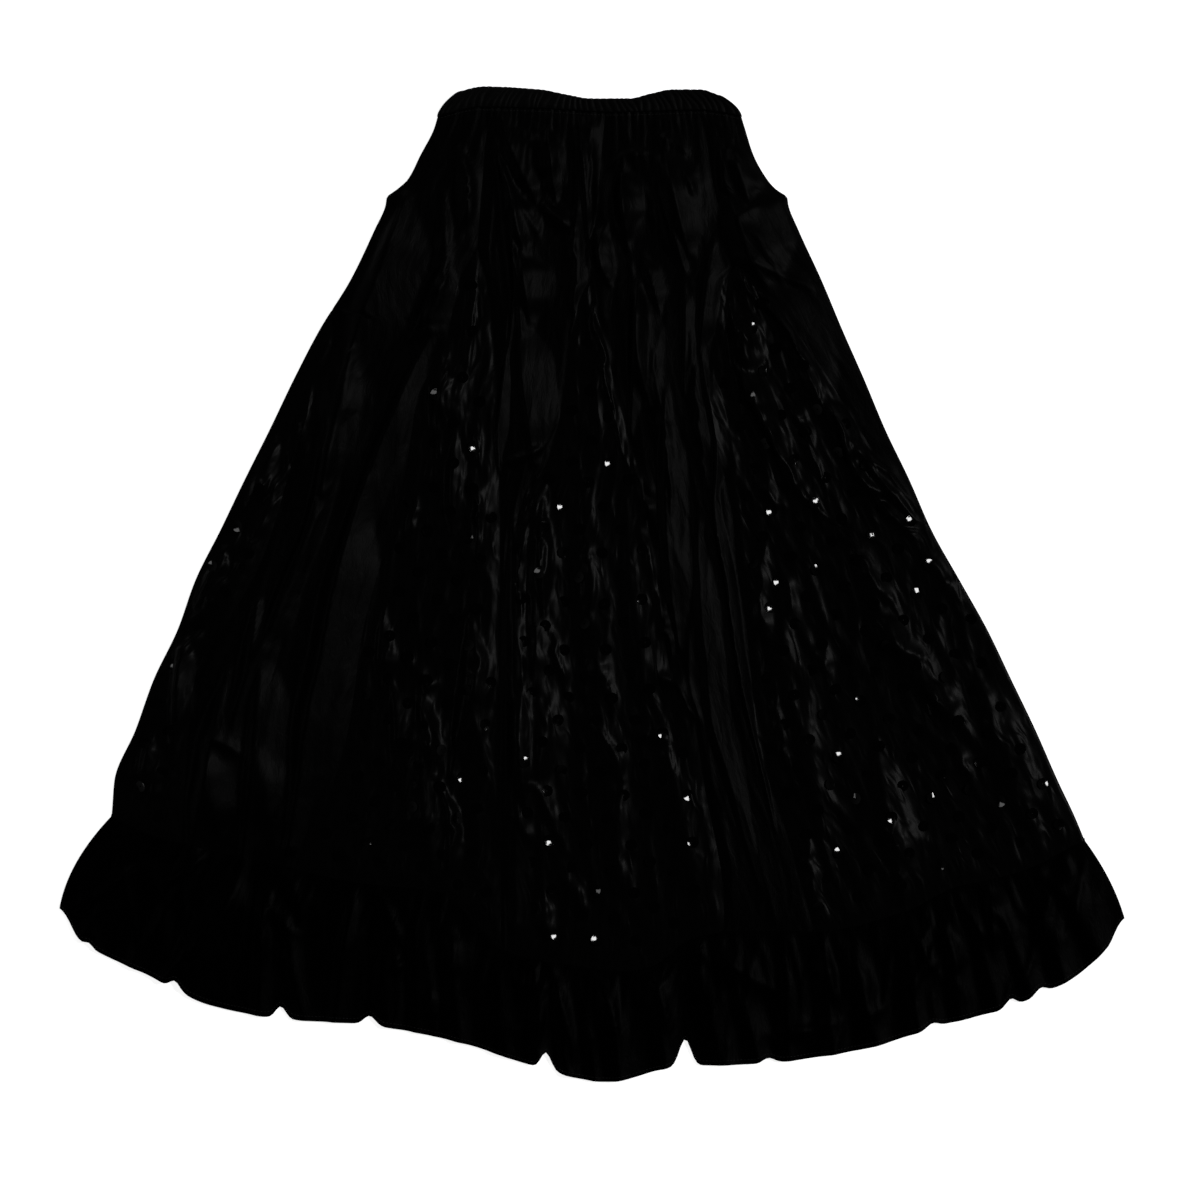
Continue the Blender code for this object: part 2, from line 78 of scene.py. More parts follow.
OUTLINE = table("y left right", [
    (467, -154, 149), (454, -158, 153), (429, -171, 161), (404, -184, 175), (394, -195, 184),
    (386, -205, 195), (379, -206, 196),
    (354, -217, 206), (304, -241, 229), (254, -272, 250), (204, -298, 272), (154, -322, 293),
    (104, -347, 317), (54, -371, 339), (4, -396, 367), (-46, -414, 395), (-96, -438, 419),
    (-146, -456, 443), (-196, -477, 465), (-232, -480, 482), (-256, -486, 492)])
WAIST_SEAM = table("x y", [(-154, 467), (-112, 476), (-60, 475), (23, 471), (108, 473), (149, 467)])
RUFFLE_SEAM = table("x y", [
    (-480, -232), (-440, -251), (-330, -277), (-236, -298), (-152, -308), (-118, -336), (-84, -368),
    (-20, -381), (33, -387), (59, -382), (101, -354), (148, -346), (225, -347), (313, -327),
    (360, -304), (428, -287), (492, -256)])
BODY_LENGTH = OUTLINE["y"][0] - OUTLINE["y"][-1]
BACK_SAG = 120 * MM
ROW_BEND = 3  # a power: rows bend to the ruffle's seam mostly close to it

# The seams on each side of a godet. An x outside the outline lies that far round the side, on the back.
GODETS = {
    "a": table("y left right", [
        (467, -189, -189), (319, -272, -272), (290, -305, -262), (246, -343, -259), (204, -384, -272),
        (129, -445, -297), (26, -532, -329), (-38, -572, -364), (-88, -612, -395), (-136, -638, -402),
        (-251, -676, -410)]),
    "b": table("y left right", [
        (467, -104, -104), (344, -114, -114), (300, -134, -105), (240, -146, -98), (187, -174, -95),
        (114, -186, -93), (29, -209, -92), (-53, -230, -92), (-137, -242, -92), (-210, -262, -92),
        (-278, -300, -91), (-366, -330, -91)]),
    "c": table("y left right", [
        (467, 13, 13), (434, 10, 10), (312, -1, -1), (279, -14, 2), (244, -22, 13), (192, -28, 24),
        (128, -42, 42), (80, -68, 52), (24, -84, 62), (-96, -85, 80), (-135, -85, 101),
        (-200, -85, 112), (-325, -84, 132), (-373, -84, 130)]),
    "d": table("y left right", [
        (467, 112, 112), (400, 121, 121), (320, 144, 144), (304, 132, 162), (262, 124, 196), (208, 116, 234),
        (145, 124, 273), (91, 136, 310), (64, 141, 334), (24, 144, 361), (-50, 155, 404),
        (-150, 165, 464), (-256, 197, 531), (-346, 222, 560)]),
    "e": table("y left right", [
        (467, 73, 73), (319, 92, 92), (250, 94, 116), (100, 105, 170), (-100, 120, 252),
        (-364, 138, 352)]),
    "f": table("y left right", [
        (467, -24, -24), (319, -52, -52), (250, -68, -44), (100, -97, -20), (-100, -140, 5),
        (-364, -190, 34)]),
}
ROUND_THE_BACK = ("e", "f")
TIP_WIDTH = 5 * MM
RING = ("godet_e", "gore_5", "godet_f", "gore_6", "godet_a", "gore_1", "godet_b", "gore_2", "godet_c",
        "gore_3", "godet_d", "gore_4")


def through(x, xs, ys):
    """A smooth curve through the points of a table, which never overshoots them."""
    order = np.argsort(xs)
    xs, ys = xs[order], ys[order]
    step = np.diff(xs)
    slope = np.diff(ys) / step
    agree = slope[:-1] * slope[1:] > 0
    total = np.where(agree, slope[:-1] + slope[1:], 1)
    inner = np.where(agree, 2 * slope[:-1] * slope[1:] / total, 0)
    tangent = np.concatenate([slope[:1], inner, slope[-1:]])
    x = np.clip(x, xs[0], xs[-1])
    i = np.clip(np.searchsorted(xs, x, side="right") - 1, 0, len(step) - 1)
    s = (x - xs[i]) / step[i]
    ends = ys[i] * (1 + 2 * s) * (1 - s) ** 2 + ys[i + 1] * (3 - 2 * s) * s ** 2
    bends = tangent[i] * s * (1 - s) ** 2 - tangent[i + 1] * (1 - s) * s ** 2
    return ends + step[i] * bends


def blend(a, b, share):
    return a + (b - a) * share


def ease(x):
    """0 up to 0, 1 from 1 on, and a soft step between."""
    x = np.clip(x, 0, 1)
    return x * x * (3 - 2 * x)


def lay(t, left, right, radius, lift):
    """Where the way t round the flattened tube lies: x, height, outward x and z, and its shares of the front
    and of the back, both 0 at a side fold."""
    round_trip = right - left + 2 * (math.pi / 2 - 1) * radius
    on_left = t < round_trip / 2
    way = np.where(on_left, t, round_trip - t)
    run = np.abs(way)
    angle = np.minimum(run / radius, math.pi / 2)
    reach = radius * (1 - np.cos(angle)) + np.maximum(run - radius * math.pi / 2, 0)
    over = np.where(way > 0, 1.0, -1.0)
    x = np.where(on_left, left + reach, right - reach)
    outward_x = np.where(on_left, -np.cos(angle), np.cos(angle))
    front = ease(way / EDGE_FADE)
    back = ease(-way / EDGE_FADE)
    return x, lift + radius * (1 + over * np.sin(angle)), outward_x, over * np.sin(angle), front, back


def body_sides(v):
    left = through(blend(OUTLINE["y"][0], RUFFLE_SEAM["y"][0], v), OUTLINE["y"], OUTLINE["left"])
    right = through(blend(OUTLINE["y"][0], RUFFLE_SEAM["y"][-1], v), OUTLINE["y"], OUTLINE["right"])
    return left, right


def girth(v):
    left, right = body_sides(v)
    return right - left + 2 * FOLD_SPARE


def body_y(share, v, front):
    """Height up the skirt at a share of its width: the rows bend from the waist seam to the ruffle."""
    top = through(blend(WAIST_SEAM["x"][0], WAIST_SEAM["x"][-1], share), *WAIST_SEAM.values())
    ends = blend(RUFFLE_SEAM["y"][0], RUFFLE_SEAM["y"][-1], share)
    plain = ends - BACK_SAG * 4 * share * (1 - share)
    seam = through(blend(RUFFLE_SEAM["x"][0], RUFFLE_SEAM["x"][-1], share), *RUFFLE_SEAM.values())
    return blend(top, plain, v) + front * (seam - plain) * v ** ROW_BEND


def seam_ways(rows, edge, v, behind):
    """The ways t to a godet's edge at each v, and whether that is still above its tip."""
    left, right = body_sides(v)
    x = np.full_like(v, rows[edge][0])
    for _ in range(SEAM_PASSES):
        share = np.clip((x - left) / (right - left), 0, 1)
        y = body_y(share, v, 0.0 if behind else 1.0)
        x = through(y, rows["y"], rows[edge])
    shut = y >= rows["y"][rows["left"] == rows["right"]].min()
    return (left - x - FOLD_SPARE if behind else x - left + FOLD_SPARE), shut


def all_seams(v):
    """The ways to all seams at each v, in the order of RING, and the first again, one time round."""
    ways = []
    for key in "efabcd":
        first, shut = seam_ways(GODETS[key], "left", v, key in ROUND_THE_BACK)
        second, _ = seam_ways(GODETS[key], "right", v, key in ROUND_THE_BACK)
        low, high = np.minimum(first, second), np.maximum(first, second)
        closed = shut | (high - low < TIP_WIDTH)
        middle = (low + high) / 2
        ways += [np.where(closed, middle, low), np.where(closed, middle, high)]
    return np.array(ways + [ways[0] + 2 * girth(v)])


def spread(t, around):
    """Counts columns of faces along t: wide on the back, narrower on the front, close in the side folds."""
    front = np.clip(t, 0, around)
    count = front / FRONT_COLUMN + (t - front) / BACK_COLUMN
    turn = FOLD_RADIUS * math.pi
    return count + FOLD_COLUMNS * (ease(t / turn + 0.5) + ease((t - around) / turn + 0.5))


def column_ways(low, high, columns, around):
    ways = np.linspace(low, high, FINE_WAYS)
    count = spread(ways, around)
    return np.interp(np.linspace(count[0], count[-1], columns + 1), count, ways)


# The creases of the cloth, most of them given one by one: round folds, ribbons that lean to the right from a
# sharp edge, fine creases, and the sharp streaks of the godets. Gathers run on from the waistband, and satin
# keeps small crinkles from being folded away.
CREST = "x0 y0 x1 y1 x2 y2 width height"
FOLDS = table(CREST, [
    (-240, 234, -254, 160, -270, 92, 14, 8), (-392, -160, -380, -210, -372, -250, 17, 4),
    (-334, -170, -324, -215, -320, -258, 17, 3), (-134, 434, -128, 390, -134, 345, 9, 5),
    (-96, 440, -80, 344, -72, 250, 9, 7), (-56, 454, -50, 430, -46, 398, 11, 5),
    (-18, 450, -14, 400, -18, 330, 9, 6), (28, 402, 30, 370, 36, 335, 10, 6),
    (66, 424, 76, 369, 92, 310, 11, 7), (136, 440, 148, 408, 156, 380, 10, 6),
    (44, 300, 42, 244, 56, 178, 12, 8), (-120, 270, -132, 164, -146, 20, 14, 3),
    (-166, -100, -172, -196, -158, -290, 16, 8), (-112, 190, -116, -56, -112, -330, 18, 4),
    (-54, 90, -54, -56, -50, -340, 15, 6), (-12, 118, 4, -56, 26, -340, 16, 4),
    (34, 84, 42, -40, 54, -140, 13, 4), (72, -170, 92, -250, 104, -330, 15, 4),
    (152, 256, 164, 184, 214, 80, 12, 4), (192, 236, 234, 164, 288, 72, 12, 4),
    (256, 50, 306, -56, 370, -140, 16, 5), (186, -10, 204, -136, 236, -280, 16, 4),
    (392, -100, 414, -176, 440, -236, 15, 4), (284, -156, 296, -236, 312, -306, 14, 6),
    (-318, 96, -360, -20, -424, -165, 13, 3), (-79, 60, -79, -150, -78, -340, 17, 10),
])
RIBBONS = table(CREST, [
    (-160, 250, -215, 128, -262, 0, 27, 7), (-224, 108, -270, -60, -304, -262, 44, 13),
    (-255, 189, -294, 34, -372, -150, 20, 8), (-334, -20, -346, -90, -364, -170, 30, 9),
    (-188, 384, -213, 310, -252, 198, 46, 9.5), (-250, 236, -262, 190, -258, 150, 34, 4),
    (-150, 390, -152, 340, -160, 300, 11, 4), (-148, 324, -163, 284, -180, 246, 27, 9),
    (-366, -90, -384, -180, -402, -272, 44, 11), (-330, -60, -338, -160, -350, -272, 34, 9),
    (-90, 462, -76, 420, -58, 388, 32, 7), (-44, 454, -41, 416, -36, 380, 17, 5),
    (-14, 468, -8, 410, -3, 345, 13, 5), (-129, 434, -125, 390, -128, 350, 9, 4),
    (-102, 432, -84, 395, -79, 350, 10, 4), (-80, 345, -79, 290, -86, 230, 9, 4),
    (-86, 238, -93, 180, -93, 115, 10, 4), (-78, 390, -75, 360, -66, 332, 27, 6),
    (-47, 378, -34, 364, -18, 350, 18, 5), (-70, 330, -68, 298, -64, 262, 32, 6),
    (-76, 270, -70, 190, -62, 122, 36, 8), (70, 442, 82, 385, 96, 330, 34, 7),
    (30, 416, 30, 385, 34, 352, 28, 6), (6, 358, 6, 325, 16, 298, 19, 5),
    (128, 440, 130, 410, 134, 382, 22, 6), (136, 396, 150, 345, 176, 290, 60, 9),
    (165, 305, 200, 240, 236, 160, 38, 6), (37, 318, 39, 240, 39, 150, 15, 5),
    (50, 328, 56, 300, 64, 272, 16, 5), (120, 340, 112, 285, 109, 232, 22, 6),
    (72, 190, 74, 60, 84, -64, 24, 5), (106, 60, 114, -95, 166, -300, 21, 4.5),
    (111, 228, 120, 160, 122, 80, 14, 5), (121, 120, 134, -20, 182, -246, 11, 5),
    (90, 300, 92, 250, 92, 190, 14, 4), (-148, 240, -153, 185, -150, 130, 29, 6),
    (-134, 142, -141, 95, -142, 50, 21, 5), (-125, -40, -128, -115, -140, -190, 30, 8),
    (-208, -26, -214, -65, -212, -104, 14, 4), (-202, -100, -196, -140, -200, -185, 20, 6),
    (-176, -104, -168, -145, -160, -192, 14, 5), (-152, -200, -142, -250, -148, -308, 15, 5),
    (138, 276, 146, 240, 150, 206, 28, 8), (140, 230, 166, 165, 196, 100, 21, 6.5),
    (232, 186, 246, 150, 254, 112, 18, 5.5), (258, 140, 290, 100, 326, 62, 15, 4.5),
    (-320, 160, -330, 118, -344, 76, 20, 6.5), (-366, 44, -384, 8, -402, -34, 22, 8),
    (-440, -150, -446, -176, -450, -206, 16, 5), (-70, -98, -75, -160, -66, -228, 34, 8),
    (-66, 92, -72, 20, -70, -42, 8, 4), (-50, 82, -51, 20, -48, -32, 12, 5),
    (-408, -40, -414, -100, -418, -165, 20, 8), (284, -34, 296, -52, 310, -74, 22, 6),
    (334, -98, 346, -118, 360, -140, 22, 6),
])
CREASES = table(CREST, [
    (-75, 394, -44, 372, -17, 352, 5, 2.5), (-74, 389, -63, 366, -52, 344, 4, 2),
    (-14, 469, 0, 434, -4, 320, 5, 3), (11, 409, 33, 427, 63, 429, 5, 2.5),
    (56, 394, 60, 374, 63, 354, 4, 2.5), (63, 449, 82, 440, 98, 424, 5, 2.5),
    (90, 414, 98, 400, 104, 386, 5, 2.5), (-392, -151, -367, -160, -342, -176, 6, 3),
    (-252, 120, -300, 0, -330, -90, 6, 2.5), (-118, 473, -92, 473, -60, 470, 4, 2),
    (-56, 468, -34, 466, -12, 468, 4, 2), (-90, 121, -66, 128, -44, 140, 4, 4),
    (52, 461, 74, 466, 98, 469, 4, 2), (60, 230, 72, 150, 80, 70, 6, 3),
    (100, 250, 104, 180, 112, 110, 6, 2.5), (150, 360, 176, 330, 196, 290, 6, 3),
    (-184, 244, -166, 252, -147, 254, 4, 3), (-28, 349, -17, 317, -20, 250, 4, 3),
    (63, 427, 68, 389, 97, 296, 4, 2.5), (28, 403, 28, 380, 29, 360, 3, 2),
    (15, 360, 7, 333, 13, 305, 6, 4), (140, 362, 154, 372, 168, 380, 4, 2),
    (143, 328, 185, 310, 228, 291, 4, 2.5), (-148, 395, -146, 320, -163, 262, 5, 4),
])
STREAKS = table(CREST, [
    (157, 304, 187, 262, 219, 217, 4, 4), (148, 318, 156, 296, 167, 272, 4, 3),
    (139, 262, 152, 248, 168, 234, 8, 5), (143, 220, 165, 172, 186, 132, 8, 6),
    (186, 132, 211, 89, 246, 60, 5, 4), (194, 185, 213, 151, 239, 79, 5, 4),
    (234, 180, 250, 156, 255, 124, 6, 4), (265, 161, 262, 140, 255, 124, 4, 3),
    (255, 124, 279, 97, 306, 89, 7, 5), (269, 135, 300, 104, 333, 68, 5, 4),
    (285, 84, 305, 64, 325, 44, 5, 4), (330, 31, 352, 6, 378, -25, 5, 4),
    (253, 47, 277, 12, 309, -33, 5, 4), (162, 103, 178, 88, 193, 75, 4, 3),
    (175, 39, 169, -12, 183, -79, 6, 4), (190, 20, 196, -10, 200, -50, 5, 3),
    (187, -84, 187, -143, 216, -233, 5, 4), (218, -63, 230, -76, 237, -95, 5, 3),
    (279, -47, 303, -63, 333, -76, 7, 4), (311, -84, 338, -108, 366, -140, 5, 4),
    (360, -160, 370, -178, 380, -196, 5, 4), (384, -96, 394, -128, 404, -160, 5, 3),
    (408, -200, 428, -228, 448, -252, 5, 4), (212, -240, 218, -284, 228, -328, 5, 4),
    (300, -224, 304, -270, 312, -316, 6, 4), (-4, 306, 14, 212, 37, 116, 4, 4),
    (-52, 108, -63, 57, -68, 4, 5, 4), (-68, 4, -59, -49, -61, -111, 5, 4),
    (-48, 71, -48, 36, -45, -17, 6, 4), (-43, -36, -32, -79, -29, -100, 5, 4),
    (-40, -111, -45, -143, -53, -196, 9, 3), (-67, -199, -45, -220, -27, -271, 5, 4),
    (-72, -220, -67, -244, -48, -265, 5, 3), (-9, 49, -3, 12, -5, -47, 5, 3),
    (-5, -68, 13, -97, 21, -143, 5, 3), (-5, -132, 19, -164, 25, -193, 5, 4),
    (30, -196, 29, -260, 33, -336, 5, 3), (43, 124, 51, 89, 55, 60, 5, 4),
    (45, 52, 59, 28, 64, -4, 5, 4), (64, -4, 72, -36, 76, -71, 5, 4),
    (61, -95, 88, -103, 103, -143, 6, 4), (35, -148, 60, -152, 80, -159, 5, 4),
    (80, -159, 75, -177, 85, -193, 4, 3), (-32, -280, -16, -308, 0, -336, 6, 4),
    (-48, -312, -44, -336, -40, -360, 6, 4), (-145, 219, -147, 190, -145, 160, 9, 5),
    (-111, 157, -112, 136, -108, 115, 4, 3), (-124, 117, -116, 85, -113, 43, 6, 4),
    (-177, 88, -178, 66, -177, 45, 5, 3), (-201, -59, -204, -72, -207, -85, 5, 3),
    (-183, -67, -169, -96, -163, -109, 5, 4), (-172, -123, -161, -155, -156, -176, 6, 4),
    (-119, -29, -113, -91, -124, -123, 8, 4), (-152, -192, -140, -256, -156, -304, 5, 4),
    (-279, 197, -289, 144, -300, 117, 5, 4), (-290, 160, -330, 60, -378, -30, 5, 4),
    (-324, 104, -331, 96, -337, 88, 6, 5), (-356, 13, -377, -16, -409, -43, 6, 5),
    (-430, -180, -436, -200, -440, -220, 6, 5), (-352, 60, -372, 20, -396, -10, 5, 4),
    (-384, -40, -400, -60, -420, -72, 5, 4),
])
CREST_ENDS = 0.3  # a crest's height and width at its ends, as a share of the full ones
CREST_TAPER = 3  # it has the full ones a third of the way in from each end
CREST_STEPS = 8
CREST_SIDES = (0.65, 1.35)  # how far a crest reaches to its left and to its right, in widths
RIBBON_SIDES = (0.3, 1.0)
ROUND_POWER = 1.6
SHARP_POWER = 1.15
NOT_ZERO = 1e-9
WANDER = (4 * MM, 15 * MM, 19 * MM)  # how far fine creases stray aside, over what width and length
SWAY = (4 * MM, 60 * MM, 70 * MM)  # the same for folds and ribbons
BACK_CRINKLE = (1.3 * MM, 30 * MM, 90 * MM)  # height, and the spacing across and down
WAIST_FADE = 0.02
GATHERS = 44  # across the front of the waist
GATHER_RISE = 1.3 * MM
GATHER_COLUMNS = 5
GATHER_REACH = (6 * MM, 46 * MM)
GATHER_STRAY = (0.25, 30, 40 * MM)  # how far, how often across the waist, and over what length
GATHER_POWER = 0.8
KNOTS = 64  # a random relief repeats after so many swells
RIDGE_STRAY = 0.8
RIDGE_SCALE = (0.4, 0.6)  # strays to a ridge, across and down
RIDGE_POWER = 3
FACET_WIDTH = 0.5
FACET_STRENGTH = (0.6, 0.4)  # of its ridges: the mean, and how much it varies
FACET_PATCH = 0.7  # variations to a ridge
SEAM_DIP = 0.35 * MM
SEAM_WIDTH = 3 * MM
rng = np.random.default_rng(7)
gather_strength = rng.uniform(0.35, 1, 2 * GATHERS + 2)
gather_reach = rng.uniform(*GATHER_REACH, 2 * GATHERS + 2)


def round_crest(away):
    return np.exp(-away ** ROUND_POWER)


def sharp_crest(away):
    return np.exp(-away ** SHARP_POWER)


def straight_slope(away):
    return np.clip(1 - away, 0, 1)


def crest_height(x, y, crests, profile, sides=CREST_SIDES):
    """How high the crests lift the cloth at x, y."""
    square = np.zeros_like(x)
    steps = np.linspace(0, 1, CREST_STEPS + 1)
    for x0, y0, x1, y1, x2, y2, width, height in zip(*crests.values()):
        parts = (1 - steps) * (1 - 2 * steps), 4 * steps * (1 - steps), steps * (2 * steps - 1)
        crest = np.array([parts[0] * a + parts[1] * b + parts[2] * c
                          for a, b, c in ((x0, x1, x2), (y0, y1, y2))]).T
        near = np.full_like(x, np.inf)
        place = np.zeros_like(x)
        to_right = np.zeros_like(x)
        for step, (start, end) in enumerate(zip(crest, crest[1:])):
            run = end - start
            s = np.clip(((x - start[0]) * run[0] + (y - start[1]) * run[1]) / run.dot(run), 0, 1)
            right = x - start[0] - s * run[0]
            away = np.hypot(right, y - start[1] - s * run[1])
            place = np.where(away < near, (step + s) / CREST_STEPS, place)
            to_right = np.where(away < near, right, to_right)
            near = np.minimum(near, away)
        along = CREST_ENDS + (1 - CREST_ENDS) * ease(CREST_TAPER * np.minimum(place, 1 - place))
        reach = width * along * blend(*sides, (1 + to_right / np.maximum(near, NOT_ZERO)) / 2)
        square += (height * along * profile(near / reach)) ** 2
    return np.sqrt(square)


def uneven(u, v, seed):
    """A smooth random relief between -1 and 1, with about one swell to a unit of u and v."""
    knots = np.random.default_rng(seed).uniform(-1, 1, (KNOTS, KNOTS))
    i, j = np.floor(u).astype(int), np.floor(v).astype(int)
    across, down = ease(u - i), ease(v - j)
    i, j, beyond, below = i % KNOTS, j % KNOTS, (i + 1) % KNOTS, (j + 1) % KNOTS
    near = blend(knots[i, j], knots[beyond, j], across)
    far = blend(knots[i, below], knots[beyond, below], across)
    return blend(near, far, down)


def crinkle(u, v, seed):
    """Sharp-backed ridges that wander and meet, from 0 to 1, about one to a unit of u."""
    stray = RIDGE_STRAY * uneven(RIDGE_SCALE[0] * u, RIDGE_SCALE[1] * v, seed)
    return (1 - np.abs(uneven(u + stray, v + stray / 2, seed + 1))) ** RIDGE_POWER


def facets(u, v, seed):
    """Straight ridges that meet in corners, as on crumpled paper, from 0 to 1, about one to a unit."""
    jitter = np.random.default_rng(seed).uniform(0, 1, (2, KNOTS, KNOTS))
    first, second = np.full_like(u, np.inf), np.full_like(u, np.inf)
    for row, column in np.ndindex(3, 3):
        i, j = np.floor(u).astype(int) + column - 1, np.floor(v).astype(int) + row - 1
        corner = jitter[:, i % KNOTS, j % KNOTS]
        away = np.hypot(i + corner[0] - u, j + corner[1] - v)
        second = np.minimum(second, np.maximum(first, away))
        first = np.minimum(first, away)
    mean, swing = FACET_STRENGTH
    strength = mean + swing * uneven(FACET_PATCH * u, FACET_PATCH * v, seed + 1)
    return strength * np.clip(1 - (second - first) / FACET_WIDTH, 0, 1)


def gathers(share, down):
    """The gathers of the waist, at a share of the front's width, that far below their seam."""
    far, often, long = GATHER_STRAY
    place = np.clip(share, 0, 1) * GATHERS + far * uneven(share * often, down / long, seed=3)
    i = np.clip(np.floor(place).astype(int), 0, 2 * GATHERS)
    swell = np.abs(np.sin(math.pi * place)) ** GATHER_POWER
    return GATHER_RISE * gather_strength[i] * swell * np.exp(-down / gather_reach[i])


def body_points(t, v, relief):
    """The places of ways t at rows v of the body, with a relief that is added to the folds."""
    left, right = body_sides(v)
    x, height, _, _, front, back = lay(t, left, right, FOLD_RADIUS, LIFT)
    share = (x - left) / (right - left)
    y = body_y(share, v, front)
    down = v * BODY_LENGTH
    top = ease(v / WAIST_FADE)
    far, wide, long = WANDER
    aside = far * (1 - 2 * np.abs(uneven(x / wide, y / long, seed=41)))
    far, wide, long = SWAY
    sway = far * uneven(x / wide, y / long, seed=42) * ease(4 * v * (1 - v))
    lifted = crest_height(x + sway, y, FOLDS, round_crest)
    lifted += crest_height(x + sway, y, RIBBONS, straight_slope, RIBBON_SIDES)
    lifted += crest_height(x + aside / 2, y, CREASES, sharp_crest)
    lifted += crest_height(x + aside, y, STREAKS, sharp_crest)
    lifted = top * lifted + gathers(share, down)
    rise, wide, long = BACK_CRINKLE
    inside = rise * crinkle(x / wide, y / long, seed=40)
    return np.stack([x, y, height + front * (lifted + relief) + back * inside], -1)


# Gores and godets. Six gores of dull satin are joined by six godets, wedges of the same satin with its
# glossy side out. All are cut with the grain down the skirt, and sewn edge to edge.
v_rows = np.linspace(0, 1, ROWS + 1)
seam_grid = all_seams(v_rows)
girths = girth(v_rows)
GORE_CRINKLE = (1.2 * MM, 34 * MM, 110 * MM)  # height, and the spacing across and down
GODET_CRINKLE = (1.8 * MM, 24 * MM, 66 * MM)
FINE_SHARE = 0.45  # the height of a second, finer set of crinkles
FINE_SCALE = (2.3, 2.1)  # how much closer they are, across and down
FINE_SEED = 20
CRINKLE_FADE = (9 * MM, 14 * MM)  # crinkles die out this close to a seam, and to an end
panels = {}


def deselect():
    bpy.ops.object.select_all(action="DESELECT")


def cloth_grid(name, points, across, down):
    """A sheet of cloth: a grid laid onto rows of points, with a UV map in metres along the cloth."""
    rows, columns = len(points) - 1, len(points[0]) - 1
    deselect()
    bpy.ops.mesh.primitive_grid_add(x_subdivisions=columns, y_subdivisions=rows, size=1)
    piece = bpy.context.object
    piece.name = name
    mesh = piece.data
    mesh.name = name
    flat = np.empty(3 * len(mesh.vertices))
    mesh.vertices.foreach_get("co", flat)
    flat = flat.reshape(-1, 3)
    column = np.rint((flat[:, 0] + 0.5) * columns).astype(int)
    row = np.rint((0.5 - flat[:, 1]) * rows).astype(int)
    mesh.vertices.foreach_set("co", points[row, column].ravel())
    corner = np.empty(len(mesh.loops), int)
    mesh.loops.foreach_get("vertex_index", corner)
    uv = np.stack([across[row, column], down[row, column]], -1)
    mesh.uv_layers.active.data.foreach_set("uv", uv[corner].ravel())
    mesh.update()
    return piece


def make_panel(name, index):
    """One gore or godet between two seams, from the waist or from its tip down to the ruffle."""
    low, high = seam_grid[index], seam_grid[index + 1]
    is_godet = name.startswith("godet")
    first = max(0, int(np.argmax(high > low)) - 1) if is_godet else 0
    kept = range(first, ROWS + 1)
    columns = math.ceil(max(float(spread(high[i], girths[i]) - spread(low[i], girths[i])) for i in kept))
    if low[0] > 0 and high[0] < girths[0]:
        columns = max(columns, math.ceil((high[0] - low[0]) / girths[0] * GATHERS * GATHER_COLUMNS))
    ways = np.array([column_ways(low[i], high[i], columns, girths[i]) for i in kept])
    v = v_rows[first:, None] + 0 * ways
    low, high = low[first:, None], high[first:, None]
    down = v * BODY_LENGTH
    middle = ways - (low + high) / 2
    rise, wide, long = GODET_CRINKLE if is_godet else GORE_CRINKLE
    ridges = facets if is_godet else crinkle
    relief = rise * ridges(middle / wide, down / long, index)
    fine = facets(FINE_SCALE[0] * middle / wide, FINE_SCALE[1] * down / long, index + FINE_SEED)
    relief += FINE_SHARE * rise * fine
    to_seam = np.minimum(ways - low, high - ways)
    to_end = np.minimum(down, down[-1, 0] - down)
    relief *= ease(to_seam / CRINKLE_FADE[0]) * ease(to_end / CRINKLE_FADE[1])
    relief -= SEAM_DIP * np.exp(-(to_seam / SEAM_WIDTH) ** 2)
    points = body_points(ways, v, relief)
    piece = cloth_grid(name + "_cloth", points, middle, down)
    panels[name] = {"piece": piece, "points": points, "across": middle, "down": down, "ways": ways,
                    "girth": girths[first:]}


for number, panel_name in enumerate(RING):
    make_panel(panel_name, number)


# Ruffle. A long strip of dull satin is gathered along its top edge, sewn to the lower edges of all the
# panels, and finished with a narrow rolled hem, whose waves fall where they like.
HEM = table("x y", [
    (-532, -324), (-508, -358), (-442, -391), (-380, -421), (-311, -434), (-226, -440), (-131, -458),
    (-62, -480), (14, -497), (86, -482), (164, -479), (268, -465), (347, -441), (412, -424),
    (479, -394), (516, -361), (532, -334)])
NOTCHES = table("x depth width", [
    (-502, 4, 5), (-416, 9, 7), (-311, 12, 7), (-222, 9, 8), (-46, 17, 7), (93, 27, 8), (176, 5, 8),
    (340, 5, 8), (418, 8, 7), (448, 7, 8)])
BACK_HEM = table("x y", [
    (-532, -324), (-480, -364), (-400, -394), (-300, -411), (-200, -427), (-100, -446), (0, -460),
    (92, -446), (200, -453), (300, -438), (400, -410), (480, -374), (532, -334)])
HEM_BOW = 9 * MM
WAVES = table("seam hem width height", [
    (-443, -510, 11, 7), (-388, -462, 11, 8), (-345, -426, 16, 12), (-326, -334, 9, 10),
    (-318, -290, 9, 9), (-237, -258, 10, 10), (-210, -206, 10, 9), (-180, -176, 9, 7),
    (-145, -136, 9, 8), (-92, -96, 12, 9), (-62, -56, 9, 9), (-38, -26, 8, 8), (-16, 2, 8, 7),
    (4, 26, 11, 12), (58, 72, 10, 11), (103, 128, 12, 11), (126, 166, 9, 9), (190, 196, 10, 9),
    (225, 240, 10, 10), (256, 284, 10, 9), (313, 324, 15, 12), (350, 366, 9, 9), (372, 404, 10, 10),
    (400, 438, 9, 8), (434, 472, 11, 9), (463, 506, 11, 8)])
